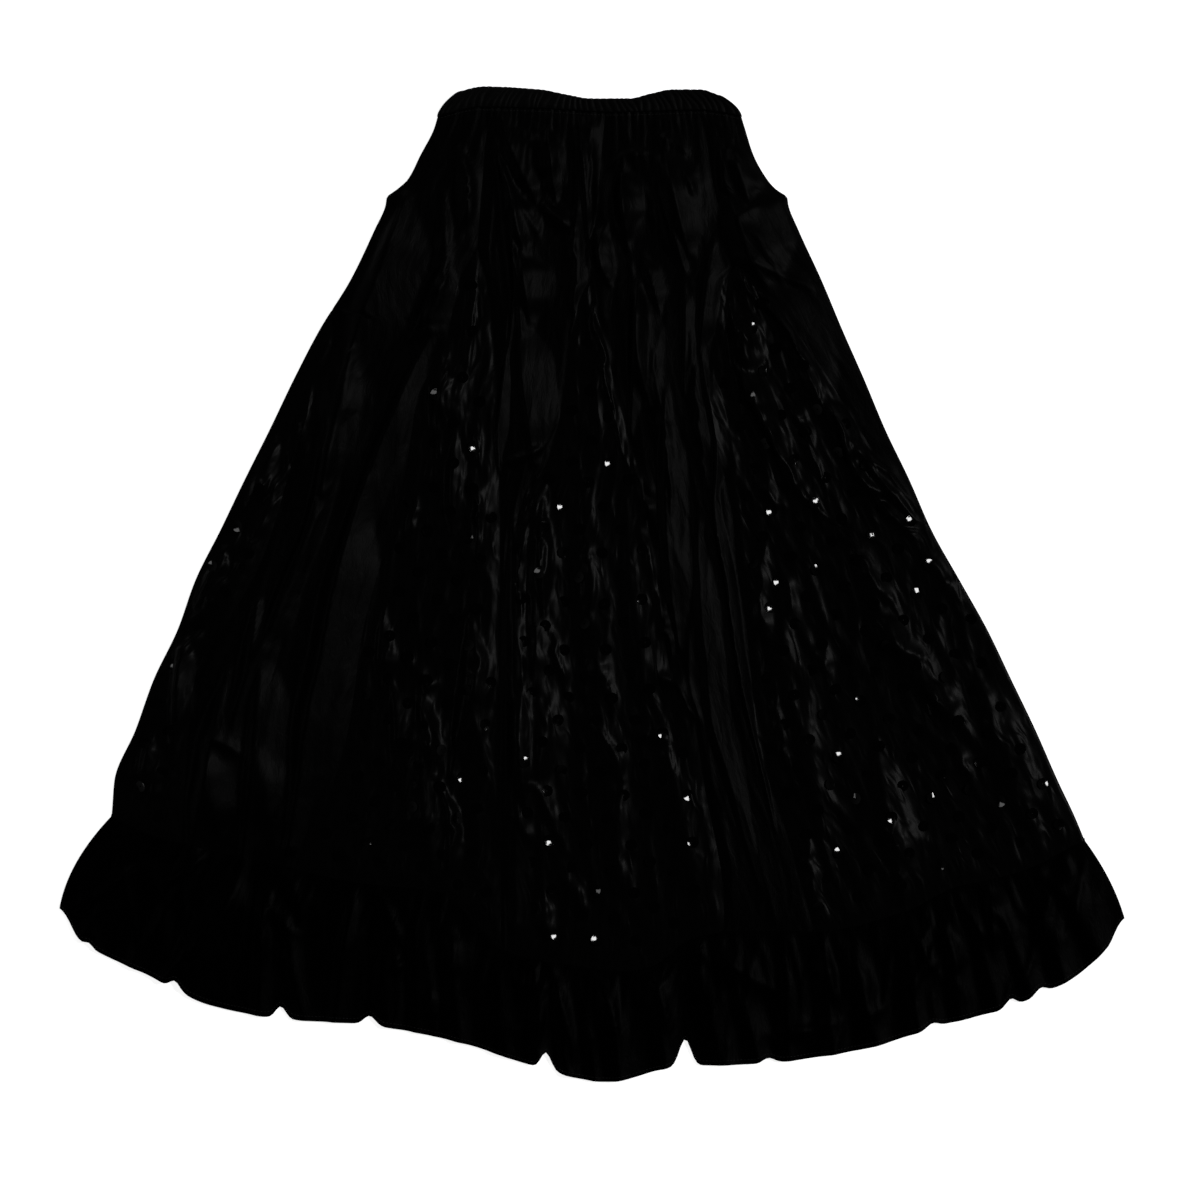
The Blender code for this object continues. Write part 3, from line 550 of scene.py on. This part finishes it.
RUFFLE_CREASES = table(CREST, [
    (-521, -328, -476, -297, -442, -275, 6, 4), (-434, -303, -406, -286, -381, -266, 4, 3),
    (-423, -387, -378, -339, -346, -289, 14, 6), (-330, -297, -331, -342, -330, -392, 5, 4),
    (-328, -297, -314, -334, -292, -351, 5, 4), (-316, -283, -297, -311, -291, -347, 6, 4),
    (-364, -264, -336, -277, -306, -286, 4, 3), (-235, -300, -245, -342, -259, -400, 5, 4),
    (-221, -298, -199, -339, -185, -370, 4, 3), (-185, -370, -192, -381, -204, -385, 4, 3),
    (-143, -346, -139, -370, -147, -394, 7, 4), (-160, -405, -164, -420, -166, -436, 6, 3),
    (-62, -372, -54, -420, -56, -462, 5, 4), (-40, -386, -28, -430, -18, -474, 6, 4),
    (4, -392, 20, -430, 26, -480, 5, 4), (58, -383, 68, -416, 82, -458, 5, 4),
    (103, -347, 108, -364, 116, -381, 5, 3), (118, -363, 150, -388, 191, -413, 12, 5),
    (230, -358, 238, -399, 249, -421, 5, 4), (248, -358, 255, -389, 249, -421, 5, 4),
    (261, -386, 268, -416, 279, -446, 7, 4), (191, -447, 214, -446, 242, -438, 7, 4),
    (315, -331, 328, -363, 346, -391, 8, 4), (351, -341, 358, -369, 366, -391, 7, 4),
    (365, -311, 381, -339, 396, -361, 7, 4), (396, -303, 398, -336, 402, -371, 9, 6),
    (448, -290, 474, -316, 486, -350, 7, 4),
])
WAVE_SHARE = 0.6  # of the height of the waves, beside these creases
RUFFLE_GROWTH = 0.45  # share of the depth in which waves grow and the folds above die out
RUFFLE_RISE = 0.3  # the share of their height that waves gain on the way down
HEM_CREASE_GROWTH = 0.05
SEAM_GATHERS = (2.2 * MM, 11 * MM, 1.4)  # height, spacing across, and how many down the depth
GATHERED_GROWTH = 0.07
GATHERED_FADE = (0.75, 0.9)  # how much lower they get, and by what share of the depth
LIMP_CREASES = (2.0 * MM, 19 * MM, 2.2)
LIMP_GROWTH = 0.3
BACK_CREASES = (1.3 * MM, 14 * MM, 1.5)
RUFFLE_ROWS = 36
RUFFLE_COLUMN = 3 * MM
TURN_COLUMNS = 12
COLUMN_GAP = 0.1 * MM  # columns closer than this become one
RUFFLE_DEPTH = 110 * MM
RUFFLE_WRAP = 26 * MM
TUCK = 0.02  # share of the ruffle's depth that runs up under the panels


def ruffle_crinkle(x, w, size, seed):
    rise, wide, often = size
    return rise * crinkle(x / wide, w * often, seed)


def wave_height(x, w):
    """How high the waves lift the ruffle at x, a share w down its depth."""
    square = np.zeros_like(x)
    for seam, hem, width, height in zip(*WAVES.values()):
        away = x - blend(seam, hem, w)
        reach = width * np.where(away > 0, CREST_SIDES[1], CREST_SIDES[0])
        square += (height * round_crest(np.abs(away / reach))) ** 2
    return WAVE_SHARE * np.sqrt(square) * ease(w / RUFFLE_GROWTH) * (1 - RUFFLE_RISE * (1 - w))


def ruffle_points(t, w):
    """The places of ways t at shares w of the ruffle's depth."""
    seam_left, seam_right = RUFFLE_SEAM["x"][0], RUFFLE_SEAM["x"][-1]
    bow = HEM_BOW * 4 * w * (1 - w)
    left = blend(seam_left, HEM["x"][0], w) - bow
    right = blend(seam_right, HEM["x"][-1], w) + bow / 2
    stretch = (right - left + 2 * FOLD_SPARE) / girths[-1]
    x, height, _, _, front, back = lay(t * stretch, left, right, FOLD_RADIUS, LIFT)
    share = np.clip((x - left) / (right - left), 0, 1)
    hem_x = blend(HEM["x"][0], HEM["x"][-1], share)
    front_hem = through(hem_x, *HEM.values())
    for place, depth, width in zip(*NOTCHES.values()):
        front_hem = front_hem + depth * np.exp(-((hem_x - place) / width) ** 2)
    hem = blend(through(hem_x, *BACK_HEM.values()), front_hem, front)
    seam_x, seam_y = blend(seam_left, seam_right, share), body_y(share, 1.0, front)
    y = blend(seam_y, hem, w)
    above = crest_height(seam_x, seam_y, FOLDS, round_crest)
    above += crest_height(seam_x, seam_y, RIBBONS, straight_slope, RIBBON_SIDES)
    above *= 1 - ease(w / RUFFLE_GROWTH)
    gathered = ruffle_crinkle(seam_x, w, SEAM_GATHERS, seed=60)
    gathered *= ease(w / GATHERED_GROWTH) * (1 - GATHERED_FADE[0] * ease(w / GATHERED_FADE[1]))
    limp = ruffle_crinkle(x, w, LIMP_CREASES, seed=62) * ease(w / LIMP_GROWTH)
    above += crest_height(x, y, RUFFLE_CREASES, sharp_crest) * ease(w / HEM_CREASE_GROWTH)
    under = ruffle_crinkle(seam_x, w, BACK_CREASES, seed=64)
    return np.stack([x, y, height + front * (above + wave_height(x, w) + gathered + limp) + back * under], -1)


def make_ruffle(name, start, end, column):
    """The ruffle between two ways t, in columns of that width, and closer ones in the side folds."""
    count = math.ceil((end - start) / column)
    if start < 0:
        turns = np.linspace(-1, 1, TURN_COLUMNS) * FOLD_RADIUS * math.pi / 2
        ways = np.sort(np.concatenate([np.linspace(start, end, count + 1), turns, turns + girths[-1]]))
        ways = ways[np.concatenate([[True], np.diff(ways) > COLUMN_GAP])]
        ways[-1] = end
    else:
        ways = np.linspace(start, end, count + 1)
    w = np.linspace(-TUCK, 1, RUFFLE_ROWS + 1)
    ways, w = np.meshgrid(ways, w)
    points = ruffle_points(ways, np.clip(w, 0, 1))
    points[0, :, 1] += TUCK * RUFFLE_DEPTH
    points[0, :, 2] -= CLOTH
    piece = cloth_grid(name + "_cloth", points, ways, w * RUFFLE_DEPTH)
    panels[name] = {"piece": piece, "points": points, "across": ways, "down": w * RUFFLE_DEPTH}


make_ruffle("ruffle_front", -RUFFLE_WRAP, girths[-1] + RUFFLE_WRAP, RUFFLE_COLUMN)
make_ruffle("ruffle_back", girths[-1] + RUFFLE_WRAP, 2 * girths[-1] - RUFFLE_WRAP, 2 * RUFFLE_COLUMN)


# Satin, a black polyester cloth. Its dull side shows a fine weave with a soft low sheen. The casing's copy of
# it
# has a painted sheen: its colour is paler and its gloss higher where it is gathered over the elastic. The
# ruffle's copy has painted shade: its colour is darker and its gloss lower, for the ruffle's weaker sheen.
# The glossy side has long floats of thread that mirror the light along every crinkle.
FLOATS = (0.8 * MM, 5 * MM)  # the width and length of a thread where it floats over others
SMALL_CREASES = (8 * MM, 20 * MM)
ROUGHNESS_SWING = 0.05
TONE_SWING = (0.8, 1.2)


def new_material(name):
    material = bpy.data.materials.new(name)
    material.use_nodes = True
    return material, material.node_tree.nodes, material.node_tree.links


def set_inputs(node, **values):
    """Sets inputs by name, with an underscore for each space."""
    for name, value in values.items():
        node.inputs[name.replace("_", " ")].default_value = value


def add_node(nodes, kind, **values):
    node = nodes.new("ShaderNode" + kind)
    set_inputs(node, **values)
    return node


def wire(links, *wires):
    """Wires nodes together, each wire given as a node, its output, the next node and its input."""
    for start, output, end, entry in wires:
        links.new(start.outputs[output], end.inputs[entry])


def satin(name, grey, roughness, gloss, weave=1.0, crease=0.35, crease_kind="FBM", polish=0.0):
    """A black satin, with a weave and small creases as its bump, on the cloth's own UV map in metres."""
    material, nodes, links = new_material(name)
    shader = nodes["Principled BSDF"]
    set_inputs(shader, Specular_IOR_Level=gloss, Coat_Weight=polish, Coat_Roughness=0.24)
    place = add_node(nodes, "UVMap")
    threads = add_node(nodes, "Mapping", Scale=(1 / FLOATS[0], 1 / FLOATS[1], 1))
    floats = add_node(nodes, "TexNoise", Scale=1, Detail=1)
    stretch = add_node(nodes, "Mapping", Scale=(1 / SMALL_CREASES[0], 1 / SMALL_CREASES[1], 1))
    creases = add_node(nodes, "TexNoise")
    creases.noise_type = crease_kind
    set_inputs(creases, Scale=1, Detail=3, Distortion=0.6)
    fine = add_node(nodes, "Bump", Strength=weave, Distance=0.1 * MM)
    broad = add_node(nodes, "Bump", Strength=crease, Distance=1.6 * MM)
    rough = add_node(nodes, "MapRange", To_Min=roughness - ROUGHNESS_SWING,
                     To_Max=roughness + ROUGHNESS_SWING)
    tone = add_node(nodes, "MapRange", To_Min=grey * TONE_SWING[0], To_Max=grey * TONE_SWING[1])
    color = add_node(nodes, "CombineColor")
    wire(links, (place, "UV", threads, "Vector"), (threads, "Vector", floats, "Vector"),
         (place, "UV", stretch, "Vector"), (stretch, "Vector", creases, "Vector"),
         (floats, "Fac", fine, "Height"), (creases, "Fac", broad, "Height"),
         (fine, "Normal", broad, "Normal"), (broad, "Normal", shader, "Normal"),
         (broad, "Normal", shader, "Coat Normal"),
         (creases, "Fac", rough, "Value"), (rough, "Result", shader, "Roughness"),
         (floats, "Fac", tone, "Value"), (color, "Color", shader, "Base Color"),
         *((tone, "Result", color, channel) for channel in ("Red", "Green", "Blue")))
    return material


dull_satin = satin("dull_satin_cloth", grey=0.0003, roughness=0.43, gloss=0.029)
# Paler and glossier than the dull satin: a painted sheen for the gathered casing.
painted_sheen_casing_satin = satin("painted_sheen_casing_satin_cloth", grey=0.0006, roughness=0.5, gloss=0.045)
# Darker and less glossy than the dull satin: painted shade for the ruffle's weaker sheen.
painted_shade_ruffle_satin = satin("crosswise_satin_cloth", grey=0.0001, roughness=0.4, gloss=0.013)
shiny_satin = satin("shiny_satin_cloth", grey=0.0012, roughness=0.4, gloss=0.018, weave=0.3, crease=0.45,
                    crease_kind="RIDGED_MULTIFRACTAL", polish=0.014)


EDGE_ANGLE = math.radians(65)  # at a cut edge; the cloth itself bends less
WELD = 0.02 * MM
LEAST_FILL = 0.31  # the least share of its width times length that a sheet states as its area


def weld(distance, outward=False):
    """Joins the corners of the active piece that lie together, and can turn its faces outward."""
    bpy.ops.object.mode_set(mode="EDIT")
    bpy.ops.mesh.select_all(action="SELECT")
    bpy.ops.mesh.remove_doubles(threshold=distance)
    if outward:
        bpy.ops.mesh.normals_make_consistent(inside=False)
    bpy.ops.object.mode_set(mode="OBJECT")


def finish_cloth(name):
    piece = panels[name]["piece"]
    shiny = name.startswith("godet")
    piece.data.materials.clear()
    # the ruffle takes the satin with painted shade
    piece.data.materials.append(shiny_satin if shiny else painted_shade_ruffle_satin if "ruffle" in name else dull_satin)
    deselect()
    bpy.context.view_layer.objects.active = piece
    piece.select_set(True)
    weld(WELD)
    wall = piece.modifiers.new("Wall", "SOLIDIFY")
    wall.thickness = CLOTH
    wall.offset = 0
    bpy.ops.object.modifier_apply(modifier=wall.name)
    bpy.ops.object.shade_smooth_by_angle(angle=EDGE_ANGLE)
    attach(piece, "root")
    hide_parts(name)
    points = panels[name]["points"]
    edges = np.linalg.norm(np.diff(points, axis=1), axis=2)
    lengths = np.linalg.norm(np.diff(points, axis=0), axis=2)
    wide, long = float(edges.sum(1).max()), float(lengths.sum(0).max())
    area = float((edges[:-1] * lengths[:, :-1]).sum())
    area = min(max(area, LEAST_FILL * wide * long), wide * long)


for panel_name in panels:
    finish_cloth(panel_name)


# Waistband. A casing of the dull satin is gathered over a flat elastic, 20 to 25 mm wide, and sewn to the
# panels with a line of stitches that puckers the cloth beneath it.
BAND_TOP = table("x y", [
    (-154, 492), (-125, 497), (-60, 494), (-30, 489), (0, 485), (44, 485), (69, 490), (95, 494),
    (125, 494), (149, 488)])
BAND_WALL = 2.2 * MM
BAND_RADIUS = 1.7 * MM
BAND_CLEAR = 0.18 * MM  # room under the casing for its ribs
BAND_SPARE = (math.pi - 2) * BAND_RADIUS
BAND_LEAN = 21 * MM
BAND_LEAN_CURVE = 1.6
BAND_DEPTH = 25 * MM  # of its cloth, from the seam to the top
BAND_STEPS = 8  # columns to a gather
BAND_POINTS = (12, 5)  # rows on its outside and on its inside
BAND_FOOT = (-0.02, 0.0)
BAND_STRAIGHT = 0.93  # the share of its height below the rounded top
BAND_CORNER = (0.98, 0.6)
BAND_RIB = 1.2 * MM
RIB_LEVEL = 0.35  # the share of a rib's height that lies within the wall
RIB_STRAY = (0.6, 13 * MM, 1.2)  # how far, over what width, and how often up the casing
RIB_POWER = 0.75
RIB_LEAST = 0.25
RIB_SWELL = (0.08, 0.9, 0.6)  # start and share of half a wave up the casing, and its power
RIB_UNDER = 0.2  # share of their height that the ribs keep underneath
DOWNWARD = -0.9
PINCH = (0.04, 0.05, 0.5 * MM)  # how high up the stitches pull the casing in, over what share, how deep
TOP_RIPPLE = 0.5 * MM


def band_section():
    """The closed section of the casing, as shares of its height and of its half thickness."""
    outside = [(w, 1.0) for w in np.linspace(0, BAND_STRAIGHT, BAND_POINTS[0])]
    inside = [(w, -1.0) for w in np.linspace(BAND_STRAIGHT, 0, BAND_POINTS[1])]
    up, out = BAND_CORNER
    return [BAND_FOOT] + outside + [(up, out), (1.0, 0.0), (up, -out)] + inside + [BAND_FOOT]


def band_points(t, w, side):
    """The places of ways t round the waist at shares w of the casing's height, out by a share of its wall."""
    seam_left, seam_right = WAIST_SEAM["x"][0], WAIST_SEAM["x"][-1]
    full = seam_right - seam_left + BAND_SPARE
    lean = BAND_LEAN * np.clip(w, 0, 1) ** BAND_LEAN_CURVE
    left, right = seam_left + lean, seam_right - lean
    stretch = (right - left + BAND_SPARE) / full
    lift = BAND_WALL / 2 + BAND_CLEAR
    x, height, outward_x, outward_z, _, _ = lay(t * stretch, left, right, BAND_RADIUS, lift)
    far, wide, often = RIB_STRAY
    place = t / full * GATHERS + far * uneven(t / wide, w * often, seed=70)
    i = np.mod(np.floor(place).astype(int), 2 * GATHERS)
    rib = np.abs(np.sin(math.pi * place)) ** RIB_POWER * (RIB_LEAST + (1 - RIB_LEAST) * gather_strength[i])
    start, wave, power = RIB_SWELL
    swell = np.where(side > 0, np.sin(math.pi * np.clip(start + wave * w, 0, 1)) ** power, 0)
    over = np.where(outward_z < DOWNWARD, RIB_UNDER, 1.0)
    middle, span, depth = PINCH
    pinch = np.exp(-((w - middle) / span) ** 2) * depth * (side > 0)
    out = side * BAND_WALL / 2 + BAND_RIB * (rib - RIB_LEVEL) * swell * over - pinch
    share = np.clip((x - left) / (right - left), 0, 1)
    along = blend(seam_left, seam_right, share)
    seam, top = through(along, *WAIST_SEAM.values()), through(along, *BAND_TOP.values())
    y = blend(seam, top, w) + TOP_RIPPLE * (rib - 0.5) * np.clip(w, 0, 1)
    return np.stack([x + out * outward_x, y, height + out * outward_z], -1)


def make_waistband():
    full = WAIST_SEAM["x"][-1] - WAIST_SEAM["x"][0] + BAND_SPARE
    ways = np.linspace(-full / 2, 1.5 * full, 2 * GATHERS * BAND_STEPS + 1)
    section = band_section()
    t, w = np.meshgrid(ways, [w for w, _ in section])
    side = np.array([s for _, s in section])[:, None] + 0 * t
    points = band_points(t, w, side)
    piece = cloth_grid("waistband_casing", points[::-1], t[::-1], (w * BAND_DEPTH)[::-1])
    bpy.ops.object.shade_smooth()
    weld(WELD, outward=True)
    piece.data.materials.clear()
    # the satin with a painted sheen
    piece.data.materials.append(painted_sheen_casing_satin)
    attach(piece, "root")
    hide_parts("waistband_front", "waistband_back")


make_waistband()


# Sequins. Round cups of glossy black plastic, 11.5 mm across, are sewn all over the godets in staggered rows,
# each through the small hole in its middle. They are rigid, so each leans its own way on the crinkled satin.
SEQUIN_PROFILE = [(0.8, 0.1), (3.4, 0.2), (4.8, 0.36), (5.75, 0.45), (5.65, 0.33), (4.8, 0.22), (0.8, -0.05)]
SEQUIN_SIDES = 14
SEQUIN_PITCH = (40 * MM, 20 * MM)  # across, and down from row to row
SEQUINS_ASIDE = 10  # columns on each side of a godet's middle, more than fit
SEQUIN_STRAY = 2.5 * MM
SEQUIN_LEAN = math.radians(9)
SEQUIN_EDGE = 8.5 * MM  # from a seam or a side fold
SEQUIN_REACH = 9 * MM  # the cloth this far round it sets how it lies
SEQUIN_LIFT = (0.4 * MM, 3 * MM)  # on level cloth, and more for its lean
UNDERSIDE = 0.35 * MM  # height of the sequins that the skirt lies on
PRESSED = 0.45  # share of their height that these keep


def model_sequin():
    """One sequin round the Z axis: a ring, extruded along its profile until it closes on itself."""
    deselect()
    radius, height = SEQUIN_PROFILE[0]
    bpy.ops.mesh.primitive_circle_add(vertices=SEQUIN_SIDES, radius=radius * MM)
    bpy.ops.object.mode_set(mode="EDIT")
    for next_radius, next_height in SEQUIN_PROFILE[1:] + SEQUIN_PROFILE[:1]:
        rise = (0, 0, (next_height - height) * MM)
        bpy.ops.mesh.extrude_region_move(TRANSFORM_OT_translate={"value": rise})
        grow = next_radius / radius
        bpy.ops.transform.resize(value=(grow, grow, 1))
        radius, height = next_radius, next_height
    weld(distance=0.01 * MM, outward=True)
    bpy.ops.object.shade_smooth_by_angle(angle=math.radians(50))
    return bpy.context.object


def spot(panel, across, down):
    """The point of a sheet at a place on its cloth, in metres across and down."""
    row = float(np.interp(down, panel["down"][:, 0], np.arange(len(panel["down"]))))
    upper = min(int(row), len(panel["down"]) - 2)
    ends = []
    for i in (upper, upper + 1):
        ends.append([np.interp(across, panel["across"][i], panel["points"][i][:, axis]) for axis in range(3)])
    return Vector(blend(np.array(ends[0]), np.array(ends[1]), row - upper))


def lie_on(panel, across, down, reach):
    """A place on a sheet, with Z out of the cloth and X across it."""
    x_axis = (spot(panel, across + reach, down) - spot(panel, across - reach, down)).normalized()
    run = spot(panel, across, down + reach) - spot(panel, across, down - reach)
    z_axis = run.cross(x_axis).normalized()
    turn = Matrix((x_axis, z_axis.cross(x_axis), z_axis)).transposed().to_4x4()
    turn.translation = spot(panel, across, down)
    return turn


def join_copies(name, pattern, places):
    """Copies of a pattern at all places, as one piece."""
    deselect()
    for place in places:
        copy = pattern.copy()
        copy.data = pattern.data.copy()
        copy.data.transform(place)
        bpy.context.scene.collection.objects.link(copy)
        copy.select_set(True)
        bpy.context.view_layer.objects.active = copy
    bpy.ops.object.join()
    piece = bpy.context.object
    piece.name = piece.data.name = name
    return piece


def sequin_places(panel):
    """Where the sequins of one godet lie: on a staggered grid, each a little astray."""
    places = []
    pitch = SEQUIN_PITCH[0]
    columns = np.arange(-SEQUINS_ASIDE * pitch, SEQUINS_ASIDE * pitch, pitch)
    for row, down in enumerate(np.arange(0, BODY_LENGTH, SEQUIN_PITCH[1])):
        i = int(np.argmin(np.abs(panel["down"][:, 0] - down)))
        if down < panel["down"][0, 0] + SEQUIN_EDGE or down > BODY_LENGTH - SEQUIN_EDGE:
            continue
        half = panel["across"][i, -1] - SEQUIN_EDGE
        for across in columns + pitch / 2 * (row % 2):
            across += rng.uniform(-SEQUIN_STRAY, SEQUIN_STRAY)
            stray = rng.uniform(-SEQUIN_STRAY, SEQUIN_STRAY)
            lean = Matrix.Rotation(rng.normal(0, SEQUIN_LEAN), 4, "X")
            lean @= Matrix.Rotation(rng.normal(0, SEQUIN_LEAN), 4, "Y")
            way = np.interp(across, panel["across"][i], panel["ways"][i])
            to_fold = min(abs(way), abs(way - panel["girth"][i]), abs(way - 2 * panel["girth"][i]))
            if abs(across) > half or to_fold < SEQUIN_EDGE:
                continue
            place = lie_on(panel, across, down + stray, SEQUIN_REACH)
            if place.col[2].z < 0:
                under = Vector((*place.translation.xy, UNDERSIDE))
                place = Matrix.Translation(under) @ Matrix.Rotation(math.pi, 4, "X")
                place @= Matrix.Scale(PRESSED, 4, (0, 0, 1))
            else:
                tilt = math.sqrt(1 - lean.col[2].z ** 2)
                place @= Matrix.Translation((0, 0, SEQUIN_LIFT[0] + tilt * SEQUIN_LIFT[1])) @ lean
            places.append(place)
    return places


def plastic(name, grey, roughness):
    """Black plastic, a little uneven from the press."""
    material, nodes, links = new_material(name)
    shader = nodes["Principled BSDF"]
    set_inputs(shader, Base_Color=(grey, grey, grey, 1), Roughness=roughness, Specular_IOR_Level=0.3)
    place = add_node(nodes, "TexCoord")
    waves = add_node(nodes, "TexNoise", Scale=1 / (3 * MM))
    bump = add_node(nodes, "Bump", Strength=0.2, Distance=0.15 * MM)
    wire(links, (place, "Object", waves, "Vector"), (waves, "Fac", bump, "Height"),
         (bump, "Normal", shader, "Normal"))
    return material


sequin = model_sequin()
sequin.data.materials.append(plastic("sequin_plastic", grey=0.0003, roughness=0.06))
for panel_name in sorted(panels):
    if panel_name.startswith("godet"):
        sequins = join_copies(panel_name + "_sequins", sequin, sequin_places(panels[panel_name]))
        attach(sequins, "root")
bpy.data.objects.remove(sequin, do_unlink=True)


# Thread. A line of black stitches holds the casing to the gores, and another the rolled hem of the ruffle.
STITCH = (1.5 * MM, 0.3 * MM, 0.22 * MM)  # half its length, width and height
STITCH_PITCH = 3.6 * MM
HEM_STITCHES = 0.965  # share of the ruffle's depth
WAIST_STITCHES = 2.4 * MM  # below the seam of the casing


def model_stitch():
    deselect()
    bpy.ops.mesh.primitive_uv_sphere_add(segments=6, ring_count=4, radius=1)
    stitch = bpy.context.object
    stitch.data.transform(Matrix.Diagonal((*STITCH, 1)))
    bpy.ops.object.shade_smooth()
    return stitch


def stitch_row(name, sheets):
    """Stitches along rows of sheets, each given as a sheet and its distance down the cloth."""
    places = []
    for panel, down in sheets:
        row = int(np.argmin(np.abs(panel["down"][:, 0] - down)))
        line = np.array([spot(panel, across, down) for across in panel["across"][row]])
        run = np.concatenate([[0], np.cumsum(np.linalg.norm(np.diff(line, axis=0), axis=1))])
        for distance in np.arange(STITCH_PITCH / 2, run[-1], STITCH_PITCH):
            across = float(np.interp(distance, run, panel["across"][row]))
            place = lie_on(panel, across, down, STITCH[0])
            places.append(place @ Matrix.Translation((0, 0, CLOTH / 2)))
    row = join_copies(name, thread_stitch, places)
    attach(row, "root")


thread_stitch = model_stitch()
thread_stitch.data.materials.append(plastic("thread_black", grey=0.001, roughness=0.6))
hem_down = HEM_STITCHES * RUFFLE_DEPTH
stitch_row("hem_stitches", [(panels["ruffle_front"], hem_down), (panels["ruffle_back"], hem_down)])
stitch_row("waist_stitches", [(panels[name], WAIST_STITCHES) for name in RING if name.startswith("gore")])
bpy.data.objects.remove(thread_stitch, do_unlink=True)


# The floor: a white sweep, lit from below too, so that it stays white and its shadows are faint.
floor_white, floor_nodes, _ = new_material("floor_white")
set_inputs(floor_nodes["Principled BSDF"], Base_Color=(0.9, 0.9, 0.9, 1), Roughness=0.9,
           Emission_Color=(1, 1, 1, 1), Emission_Strength=0.88)
deselect()
bpy.ops.mesh.primitive_plane_add(size=8, location=(0, 0, 0))
floor = bpy.context.object
floor.name = "floor"
floor.data.materials.append(floor_white)


# The light: large softboxes stand round the skirt, the strongest at the upper right, below a dark ceiling.
WALLS = ((0.25, 0.08), (0.7, 0.01))  # how far up, and how bright: the walls and the ceiling


def softbox(name, place, width, height, power):
    data = bpy.data.lights.new(name, "AREA")
    data.shape = "RECTANGLE"
    data.size = width
    data.size_y = height
    data.energy = power
    light = bpy.data.objects.new(name, data)
    light.location = place
    light.rotation_euler = (-Vector(place)).to_track_quat("-Z", "Y").to_euler()
    bpy.context.scene.collection.objects.link(light)


softbox("softbox_right", (5.2, 1.2, 6.8), width=1.2, height=1.7, power=220)
softbox("softbox_top", (-1.1, 3.0, 2.6), width=1.0, height=0.5, power=16)
softbox("softbox_left", (-3.0, 0.2, 2.2), width=0.5, height=1.0, power=5)

world = bpy.data.worlds.new("studio")
bpy.context.scene.world = world
world.use_nodes = True
world_nodes, sky = world.node_tree.nodes, world.node_tree.nodes["Background"]
direction = add_node(world_nodes, "TexCoord")
parts = add_node(world_nodes, "SeparateXYZ")
walls = add_node(world_nodes, "ValToRGB")
for stop, (position, bright) in zip(walls.color_ramp.elements, WALLS):
    stop.position = position
    stop.color = (bright, bright, bright, 1)
wire(world.node_tree.links, (direction, "Generated", parts, "Vector"), (parts, "Z", walls, "Fac"),
     (walls, "Color", sky, "Color"))
set_inputs(sky, Strength=1.0)
bpy.context.scene.view_settings.view_transform = "Standard"
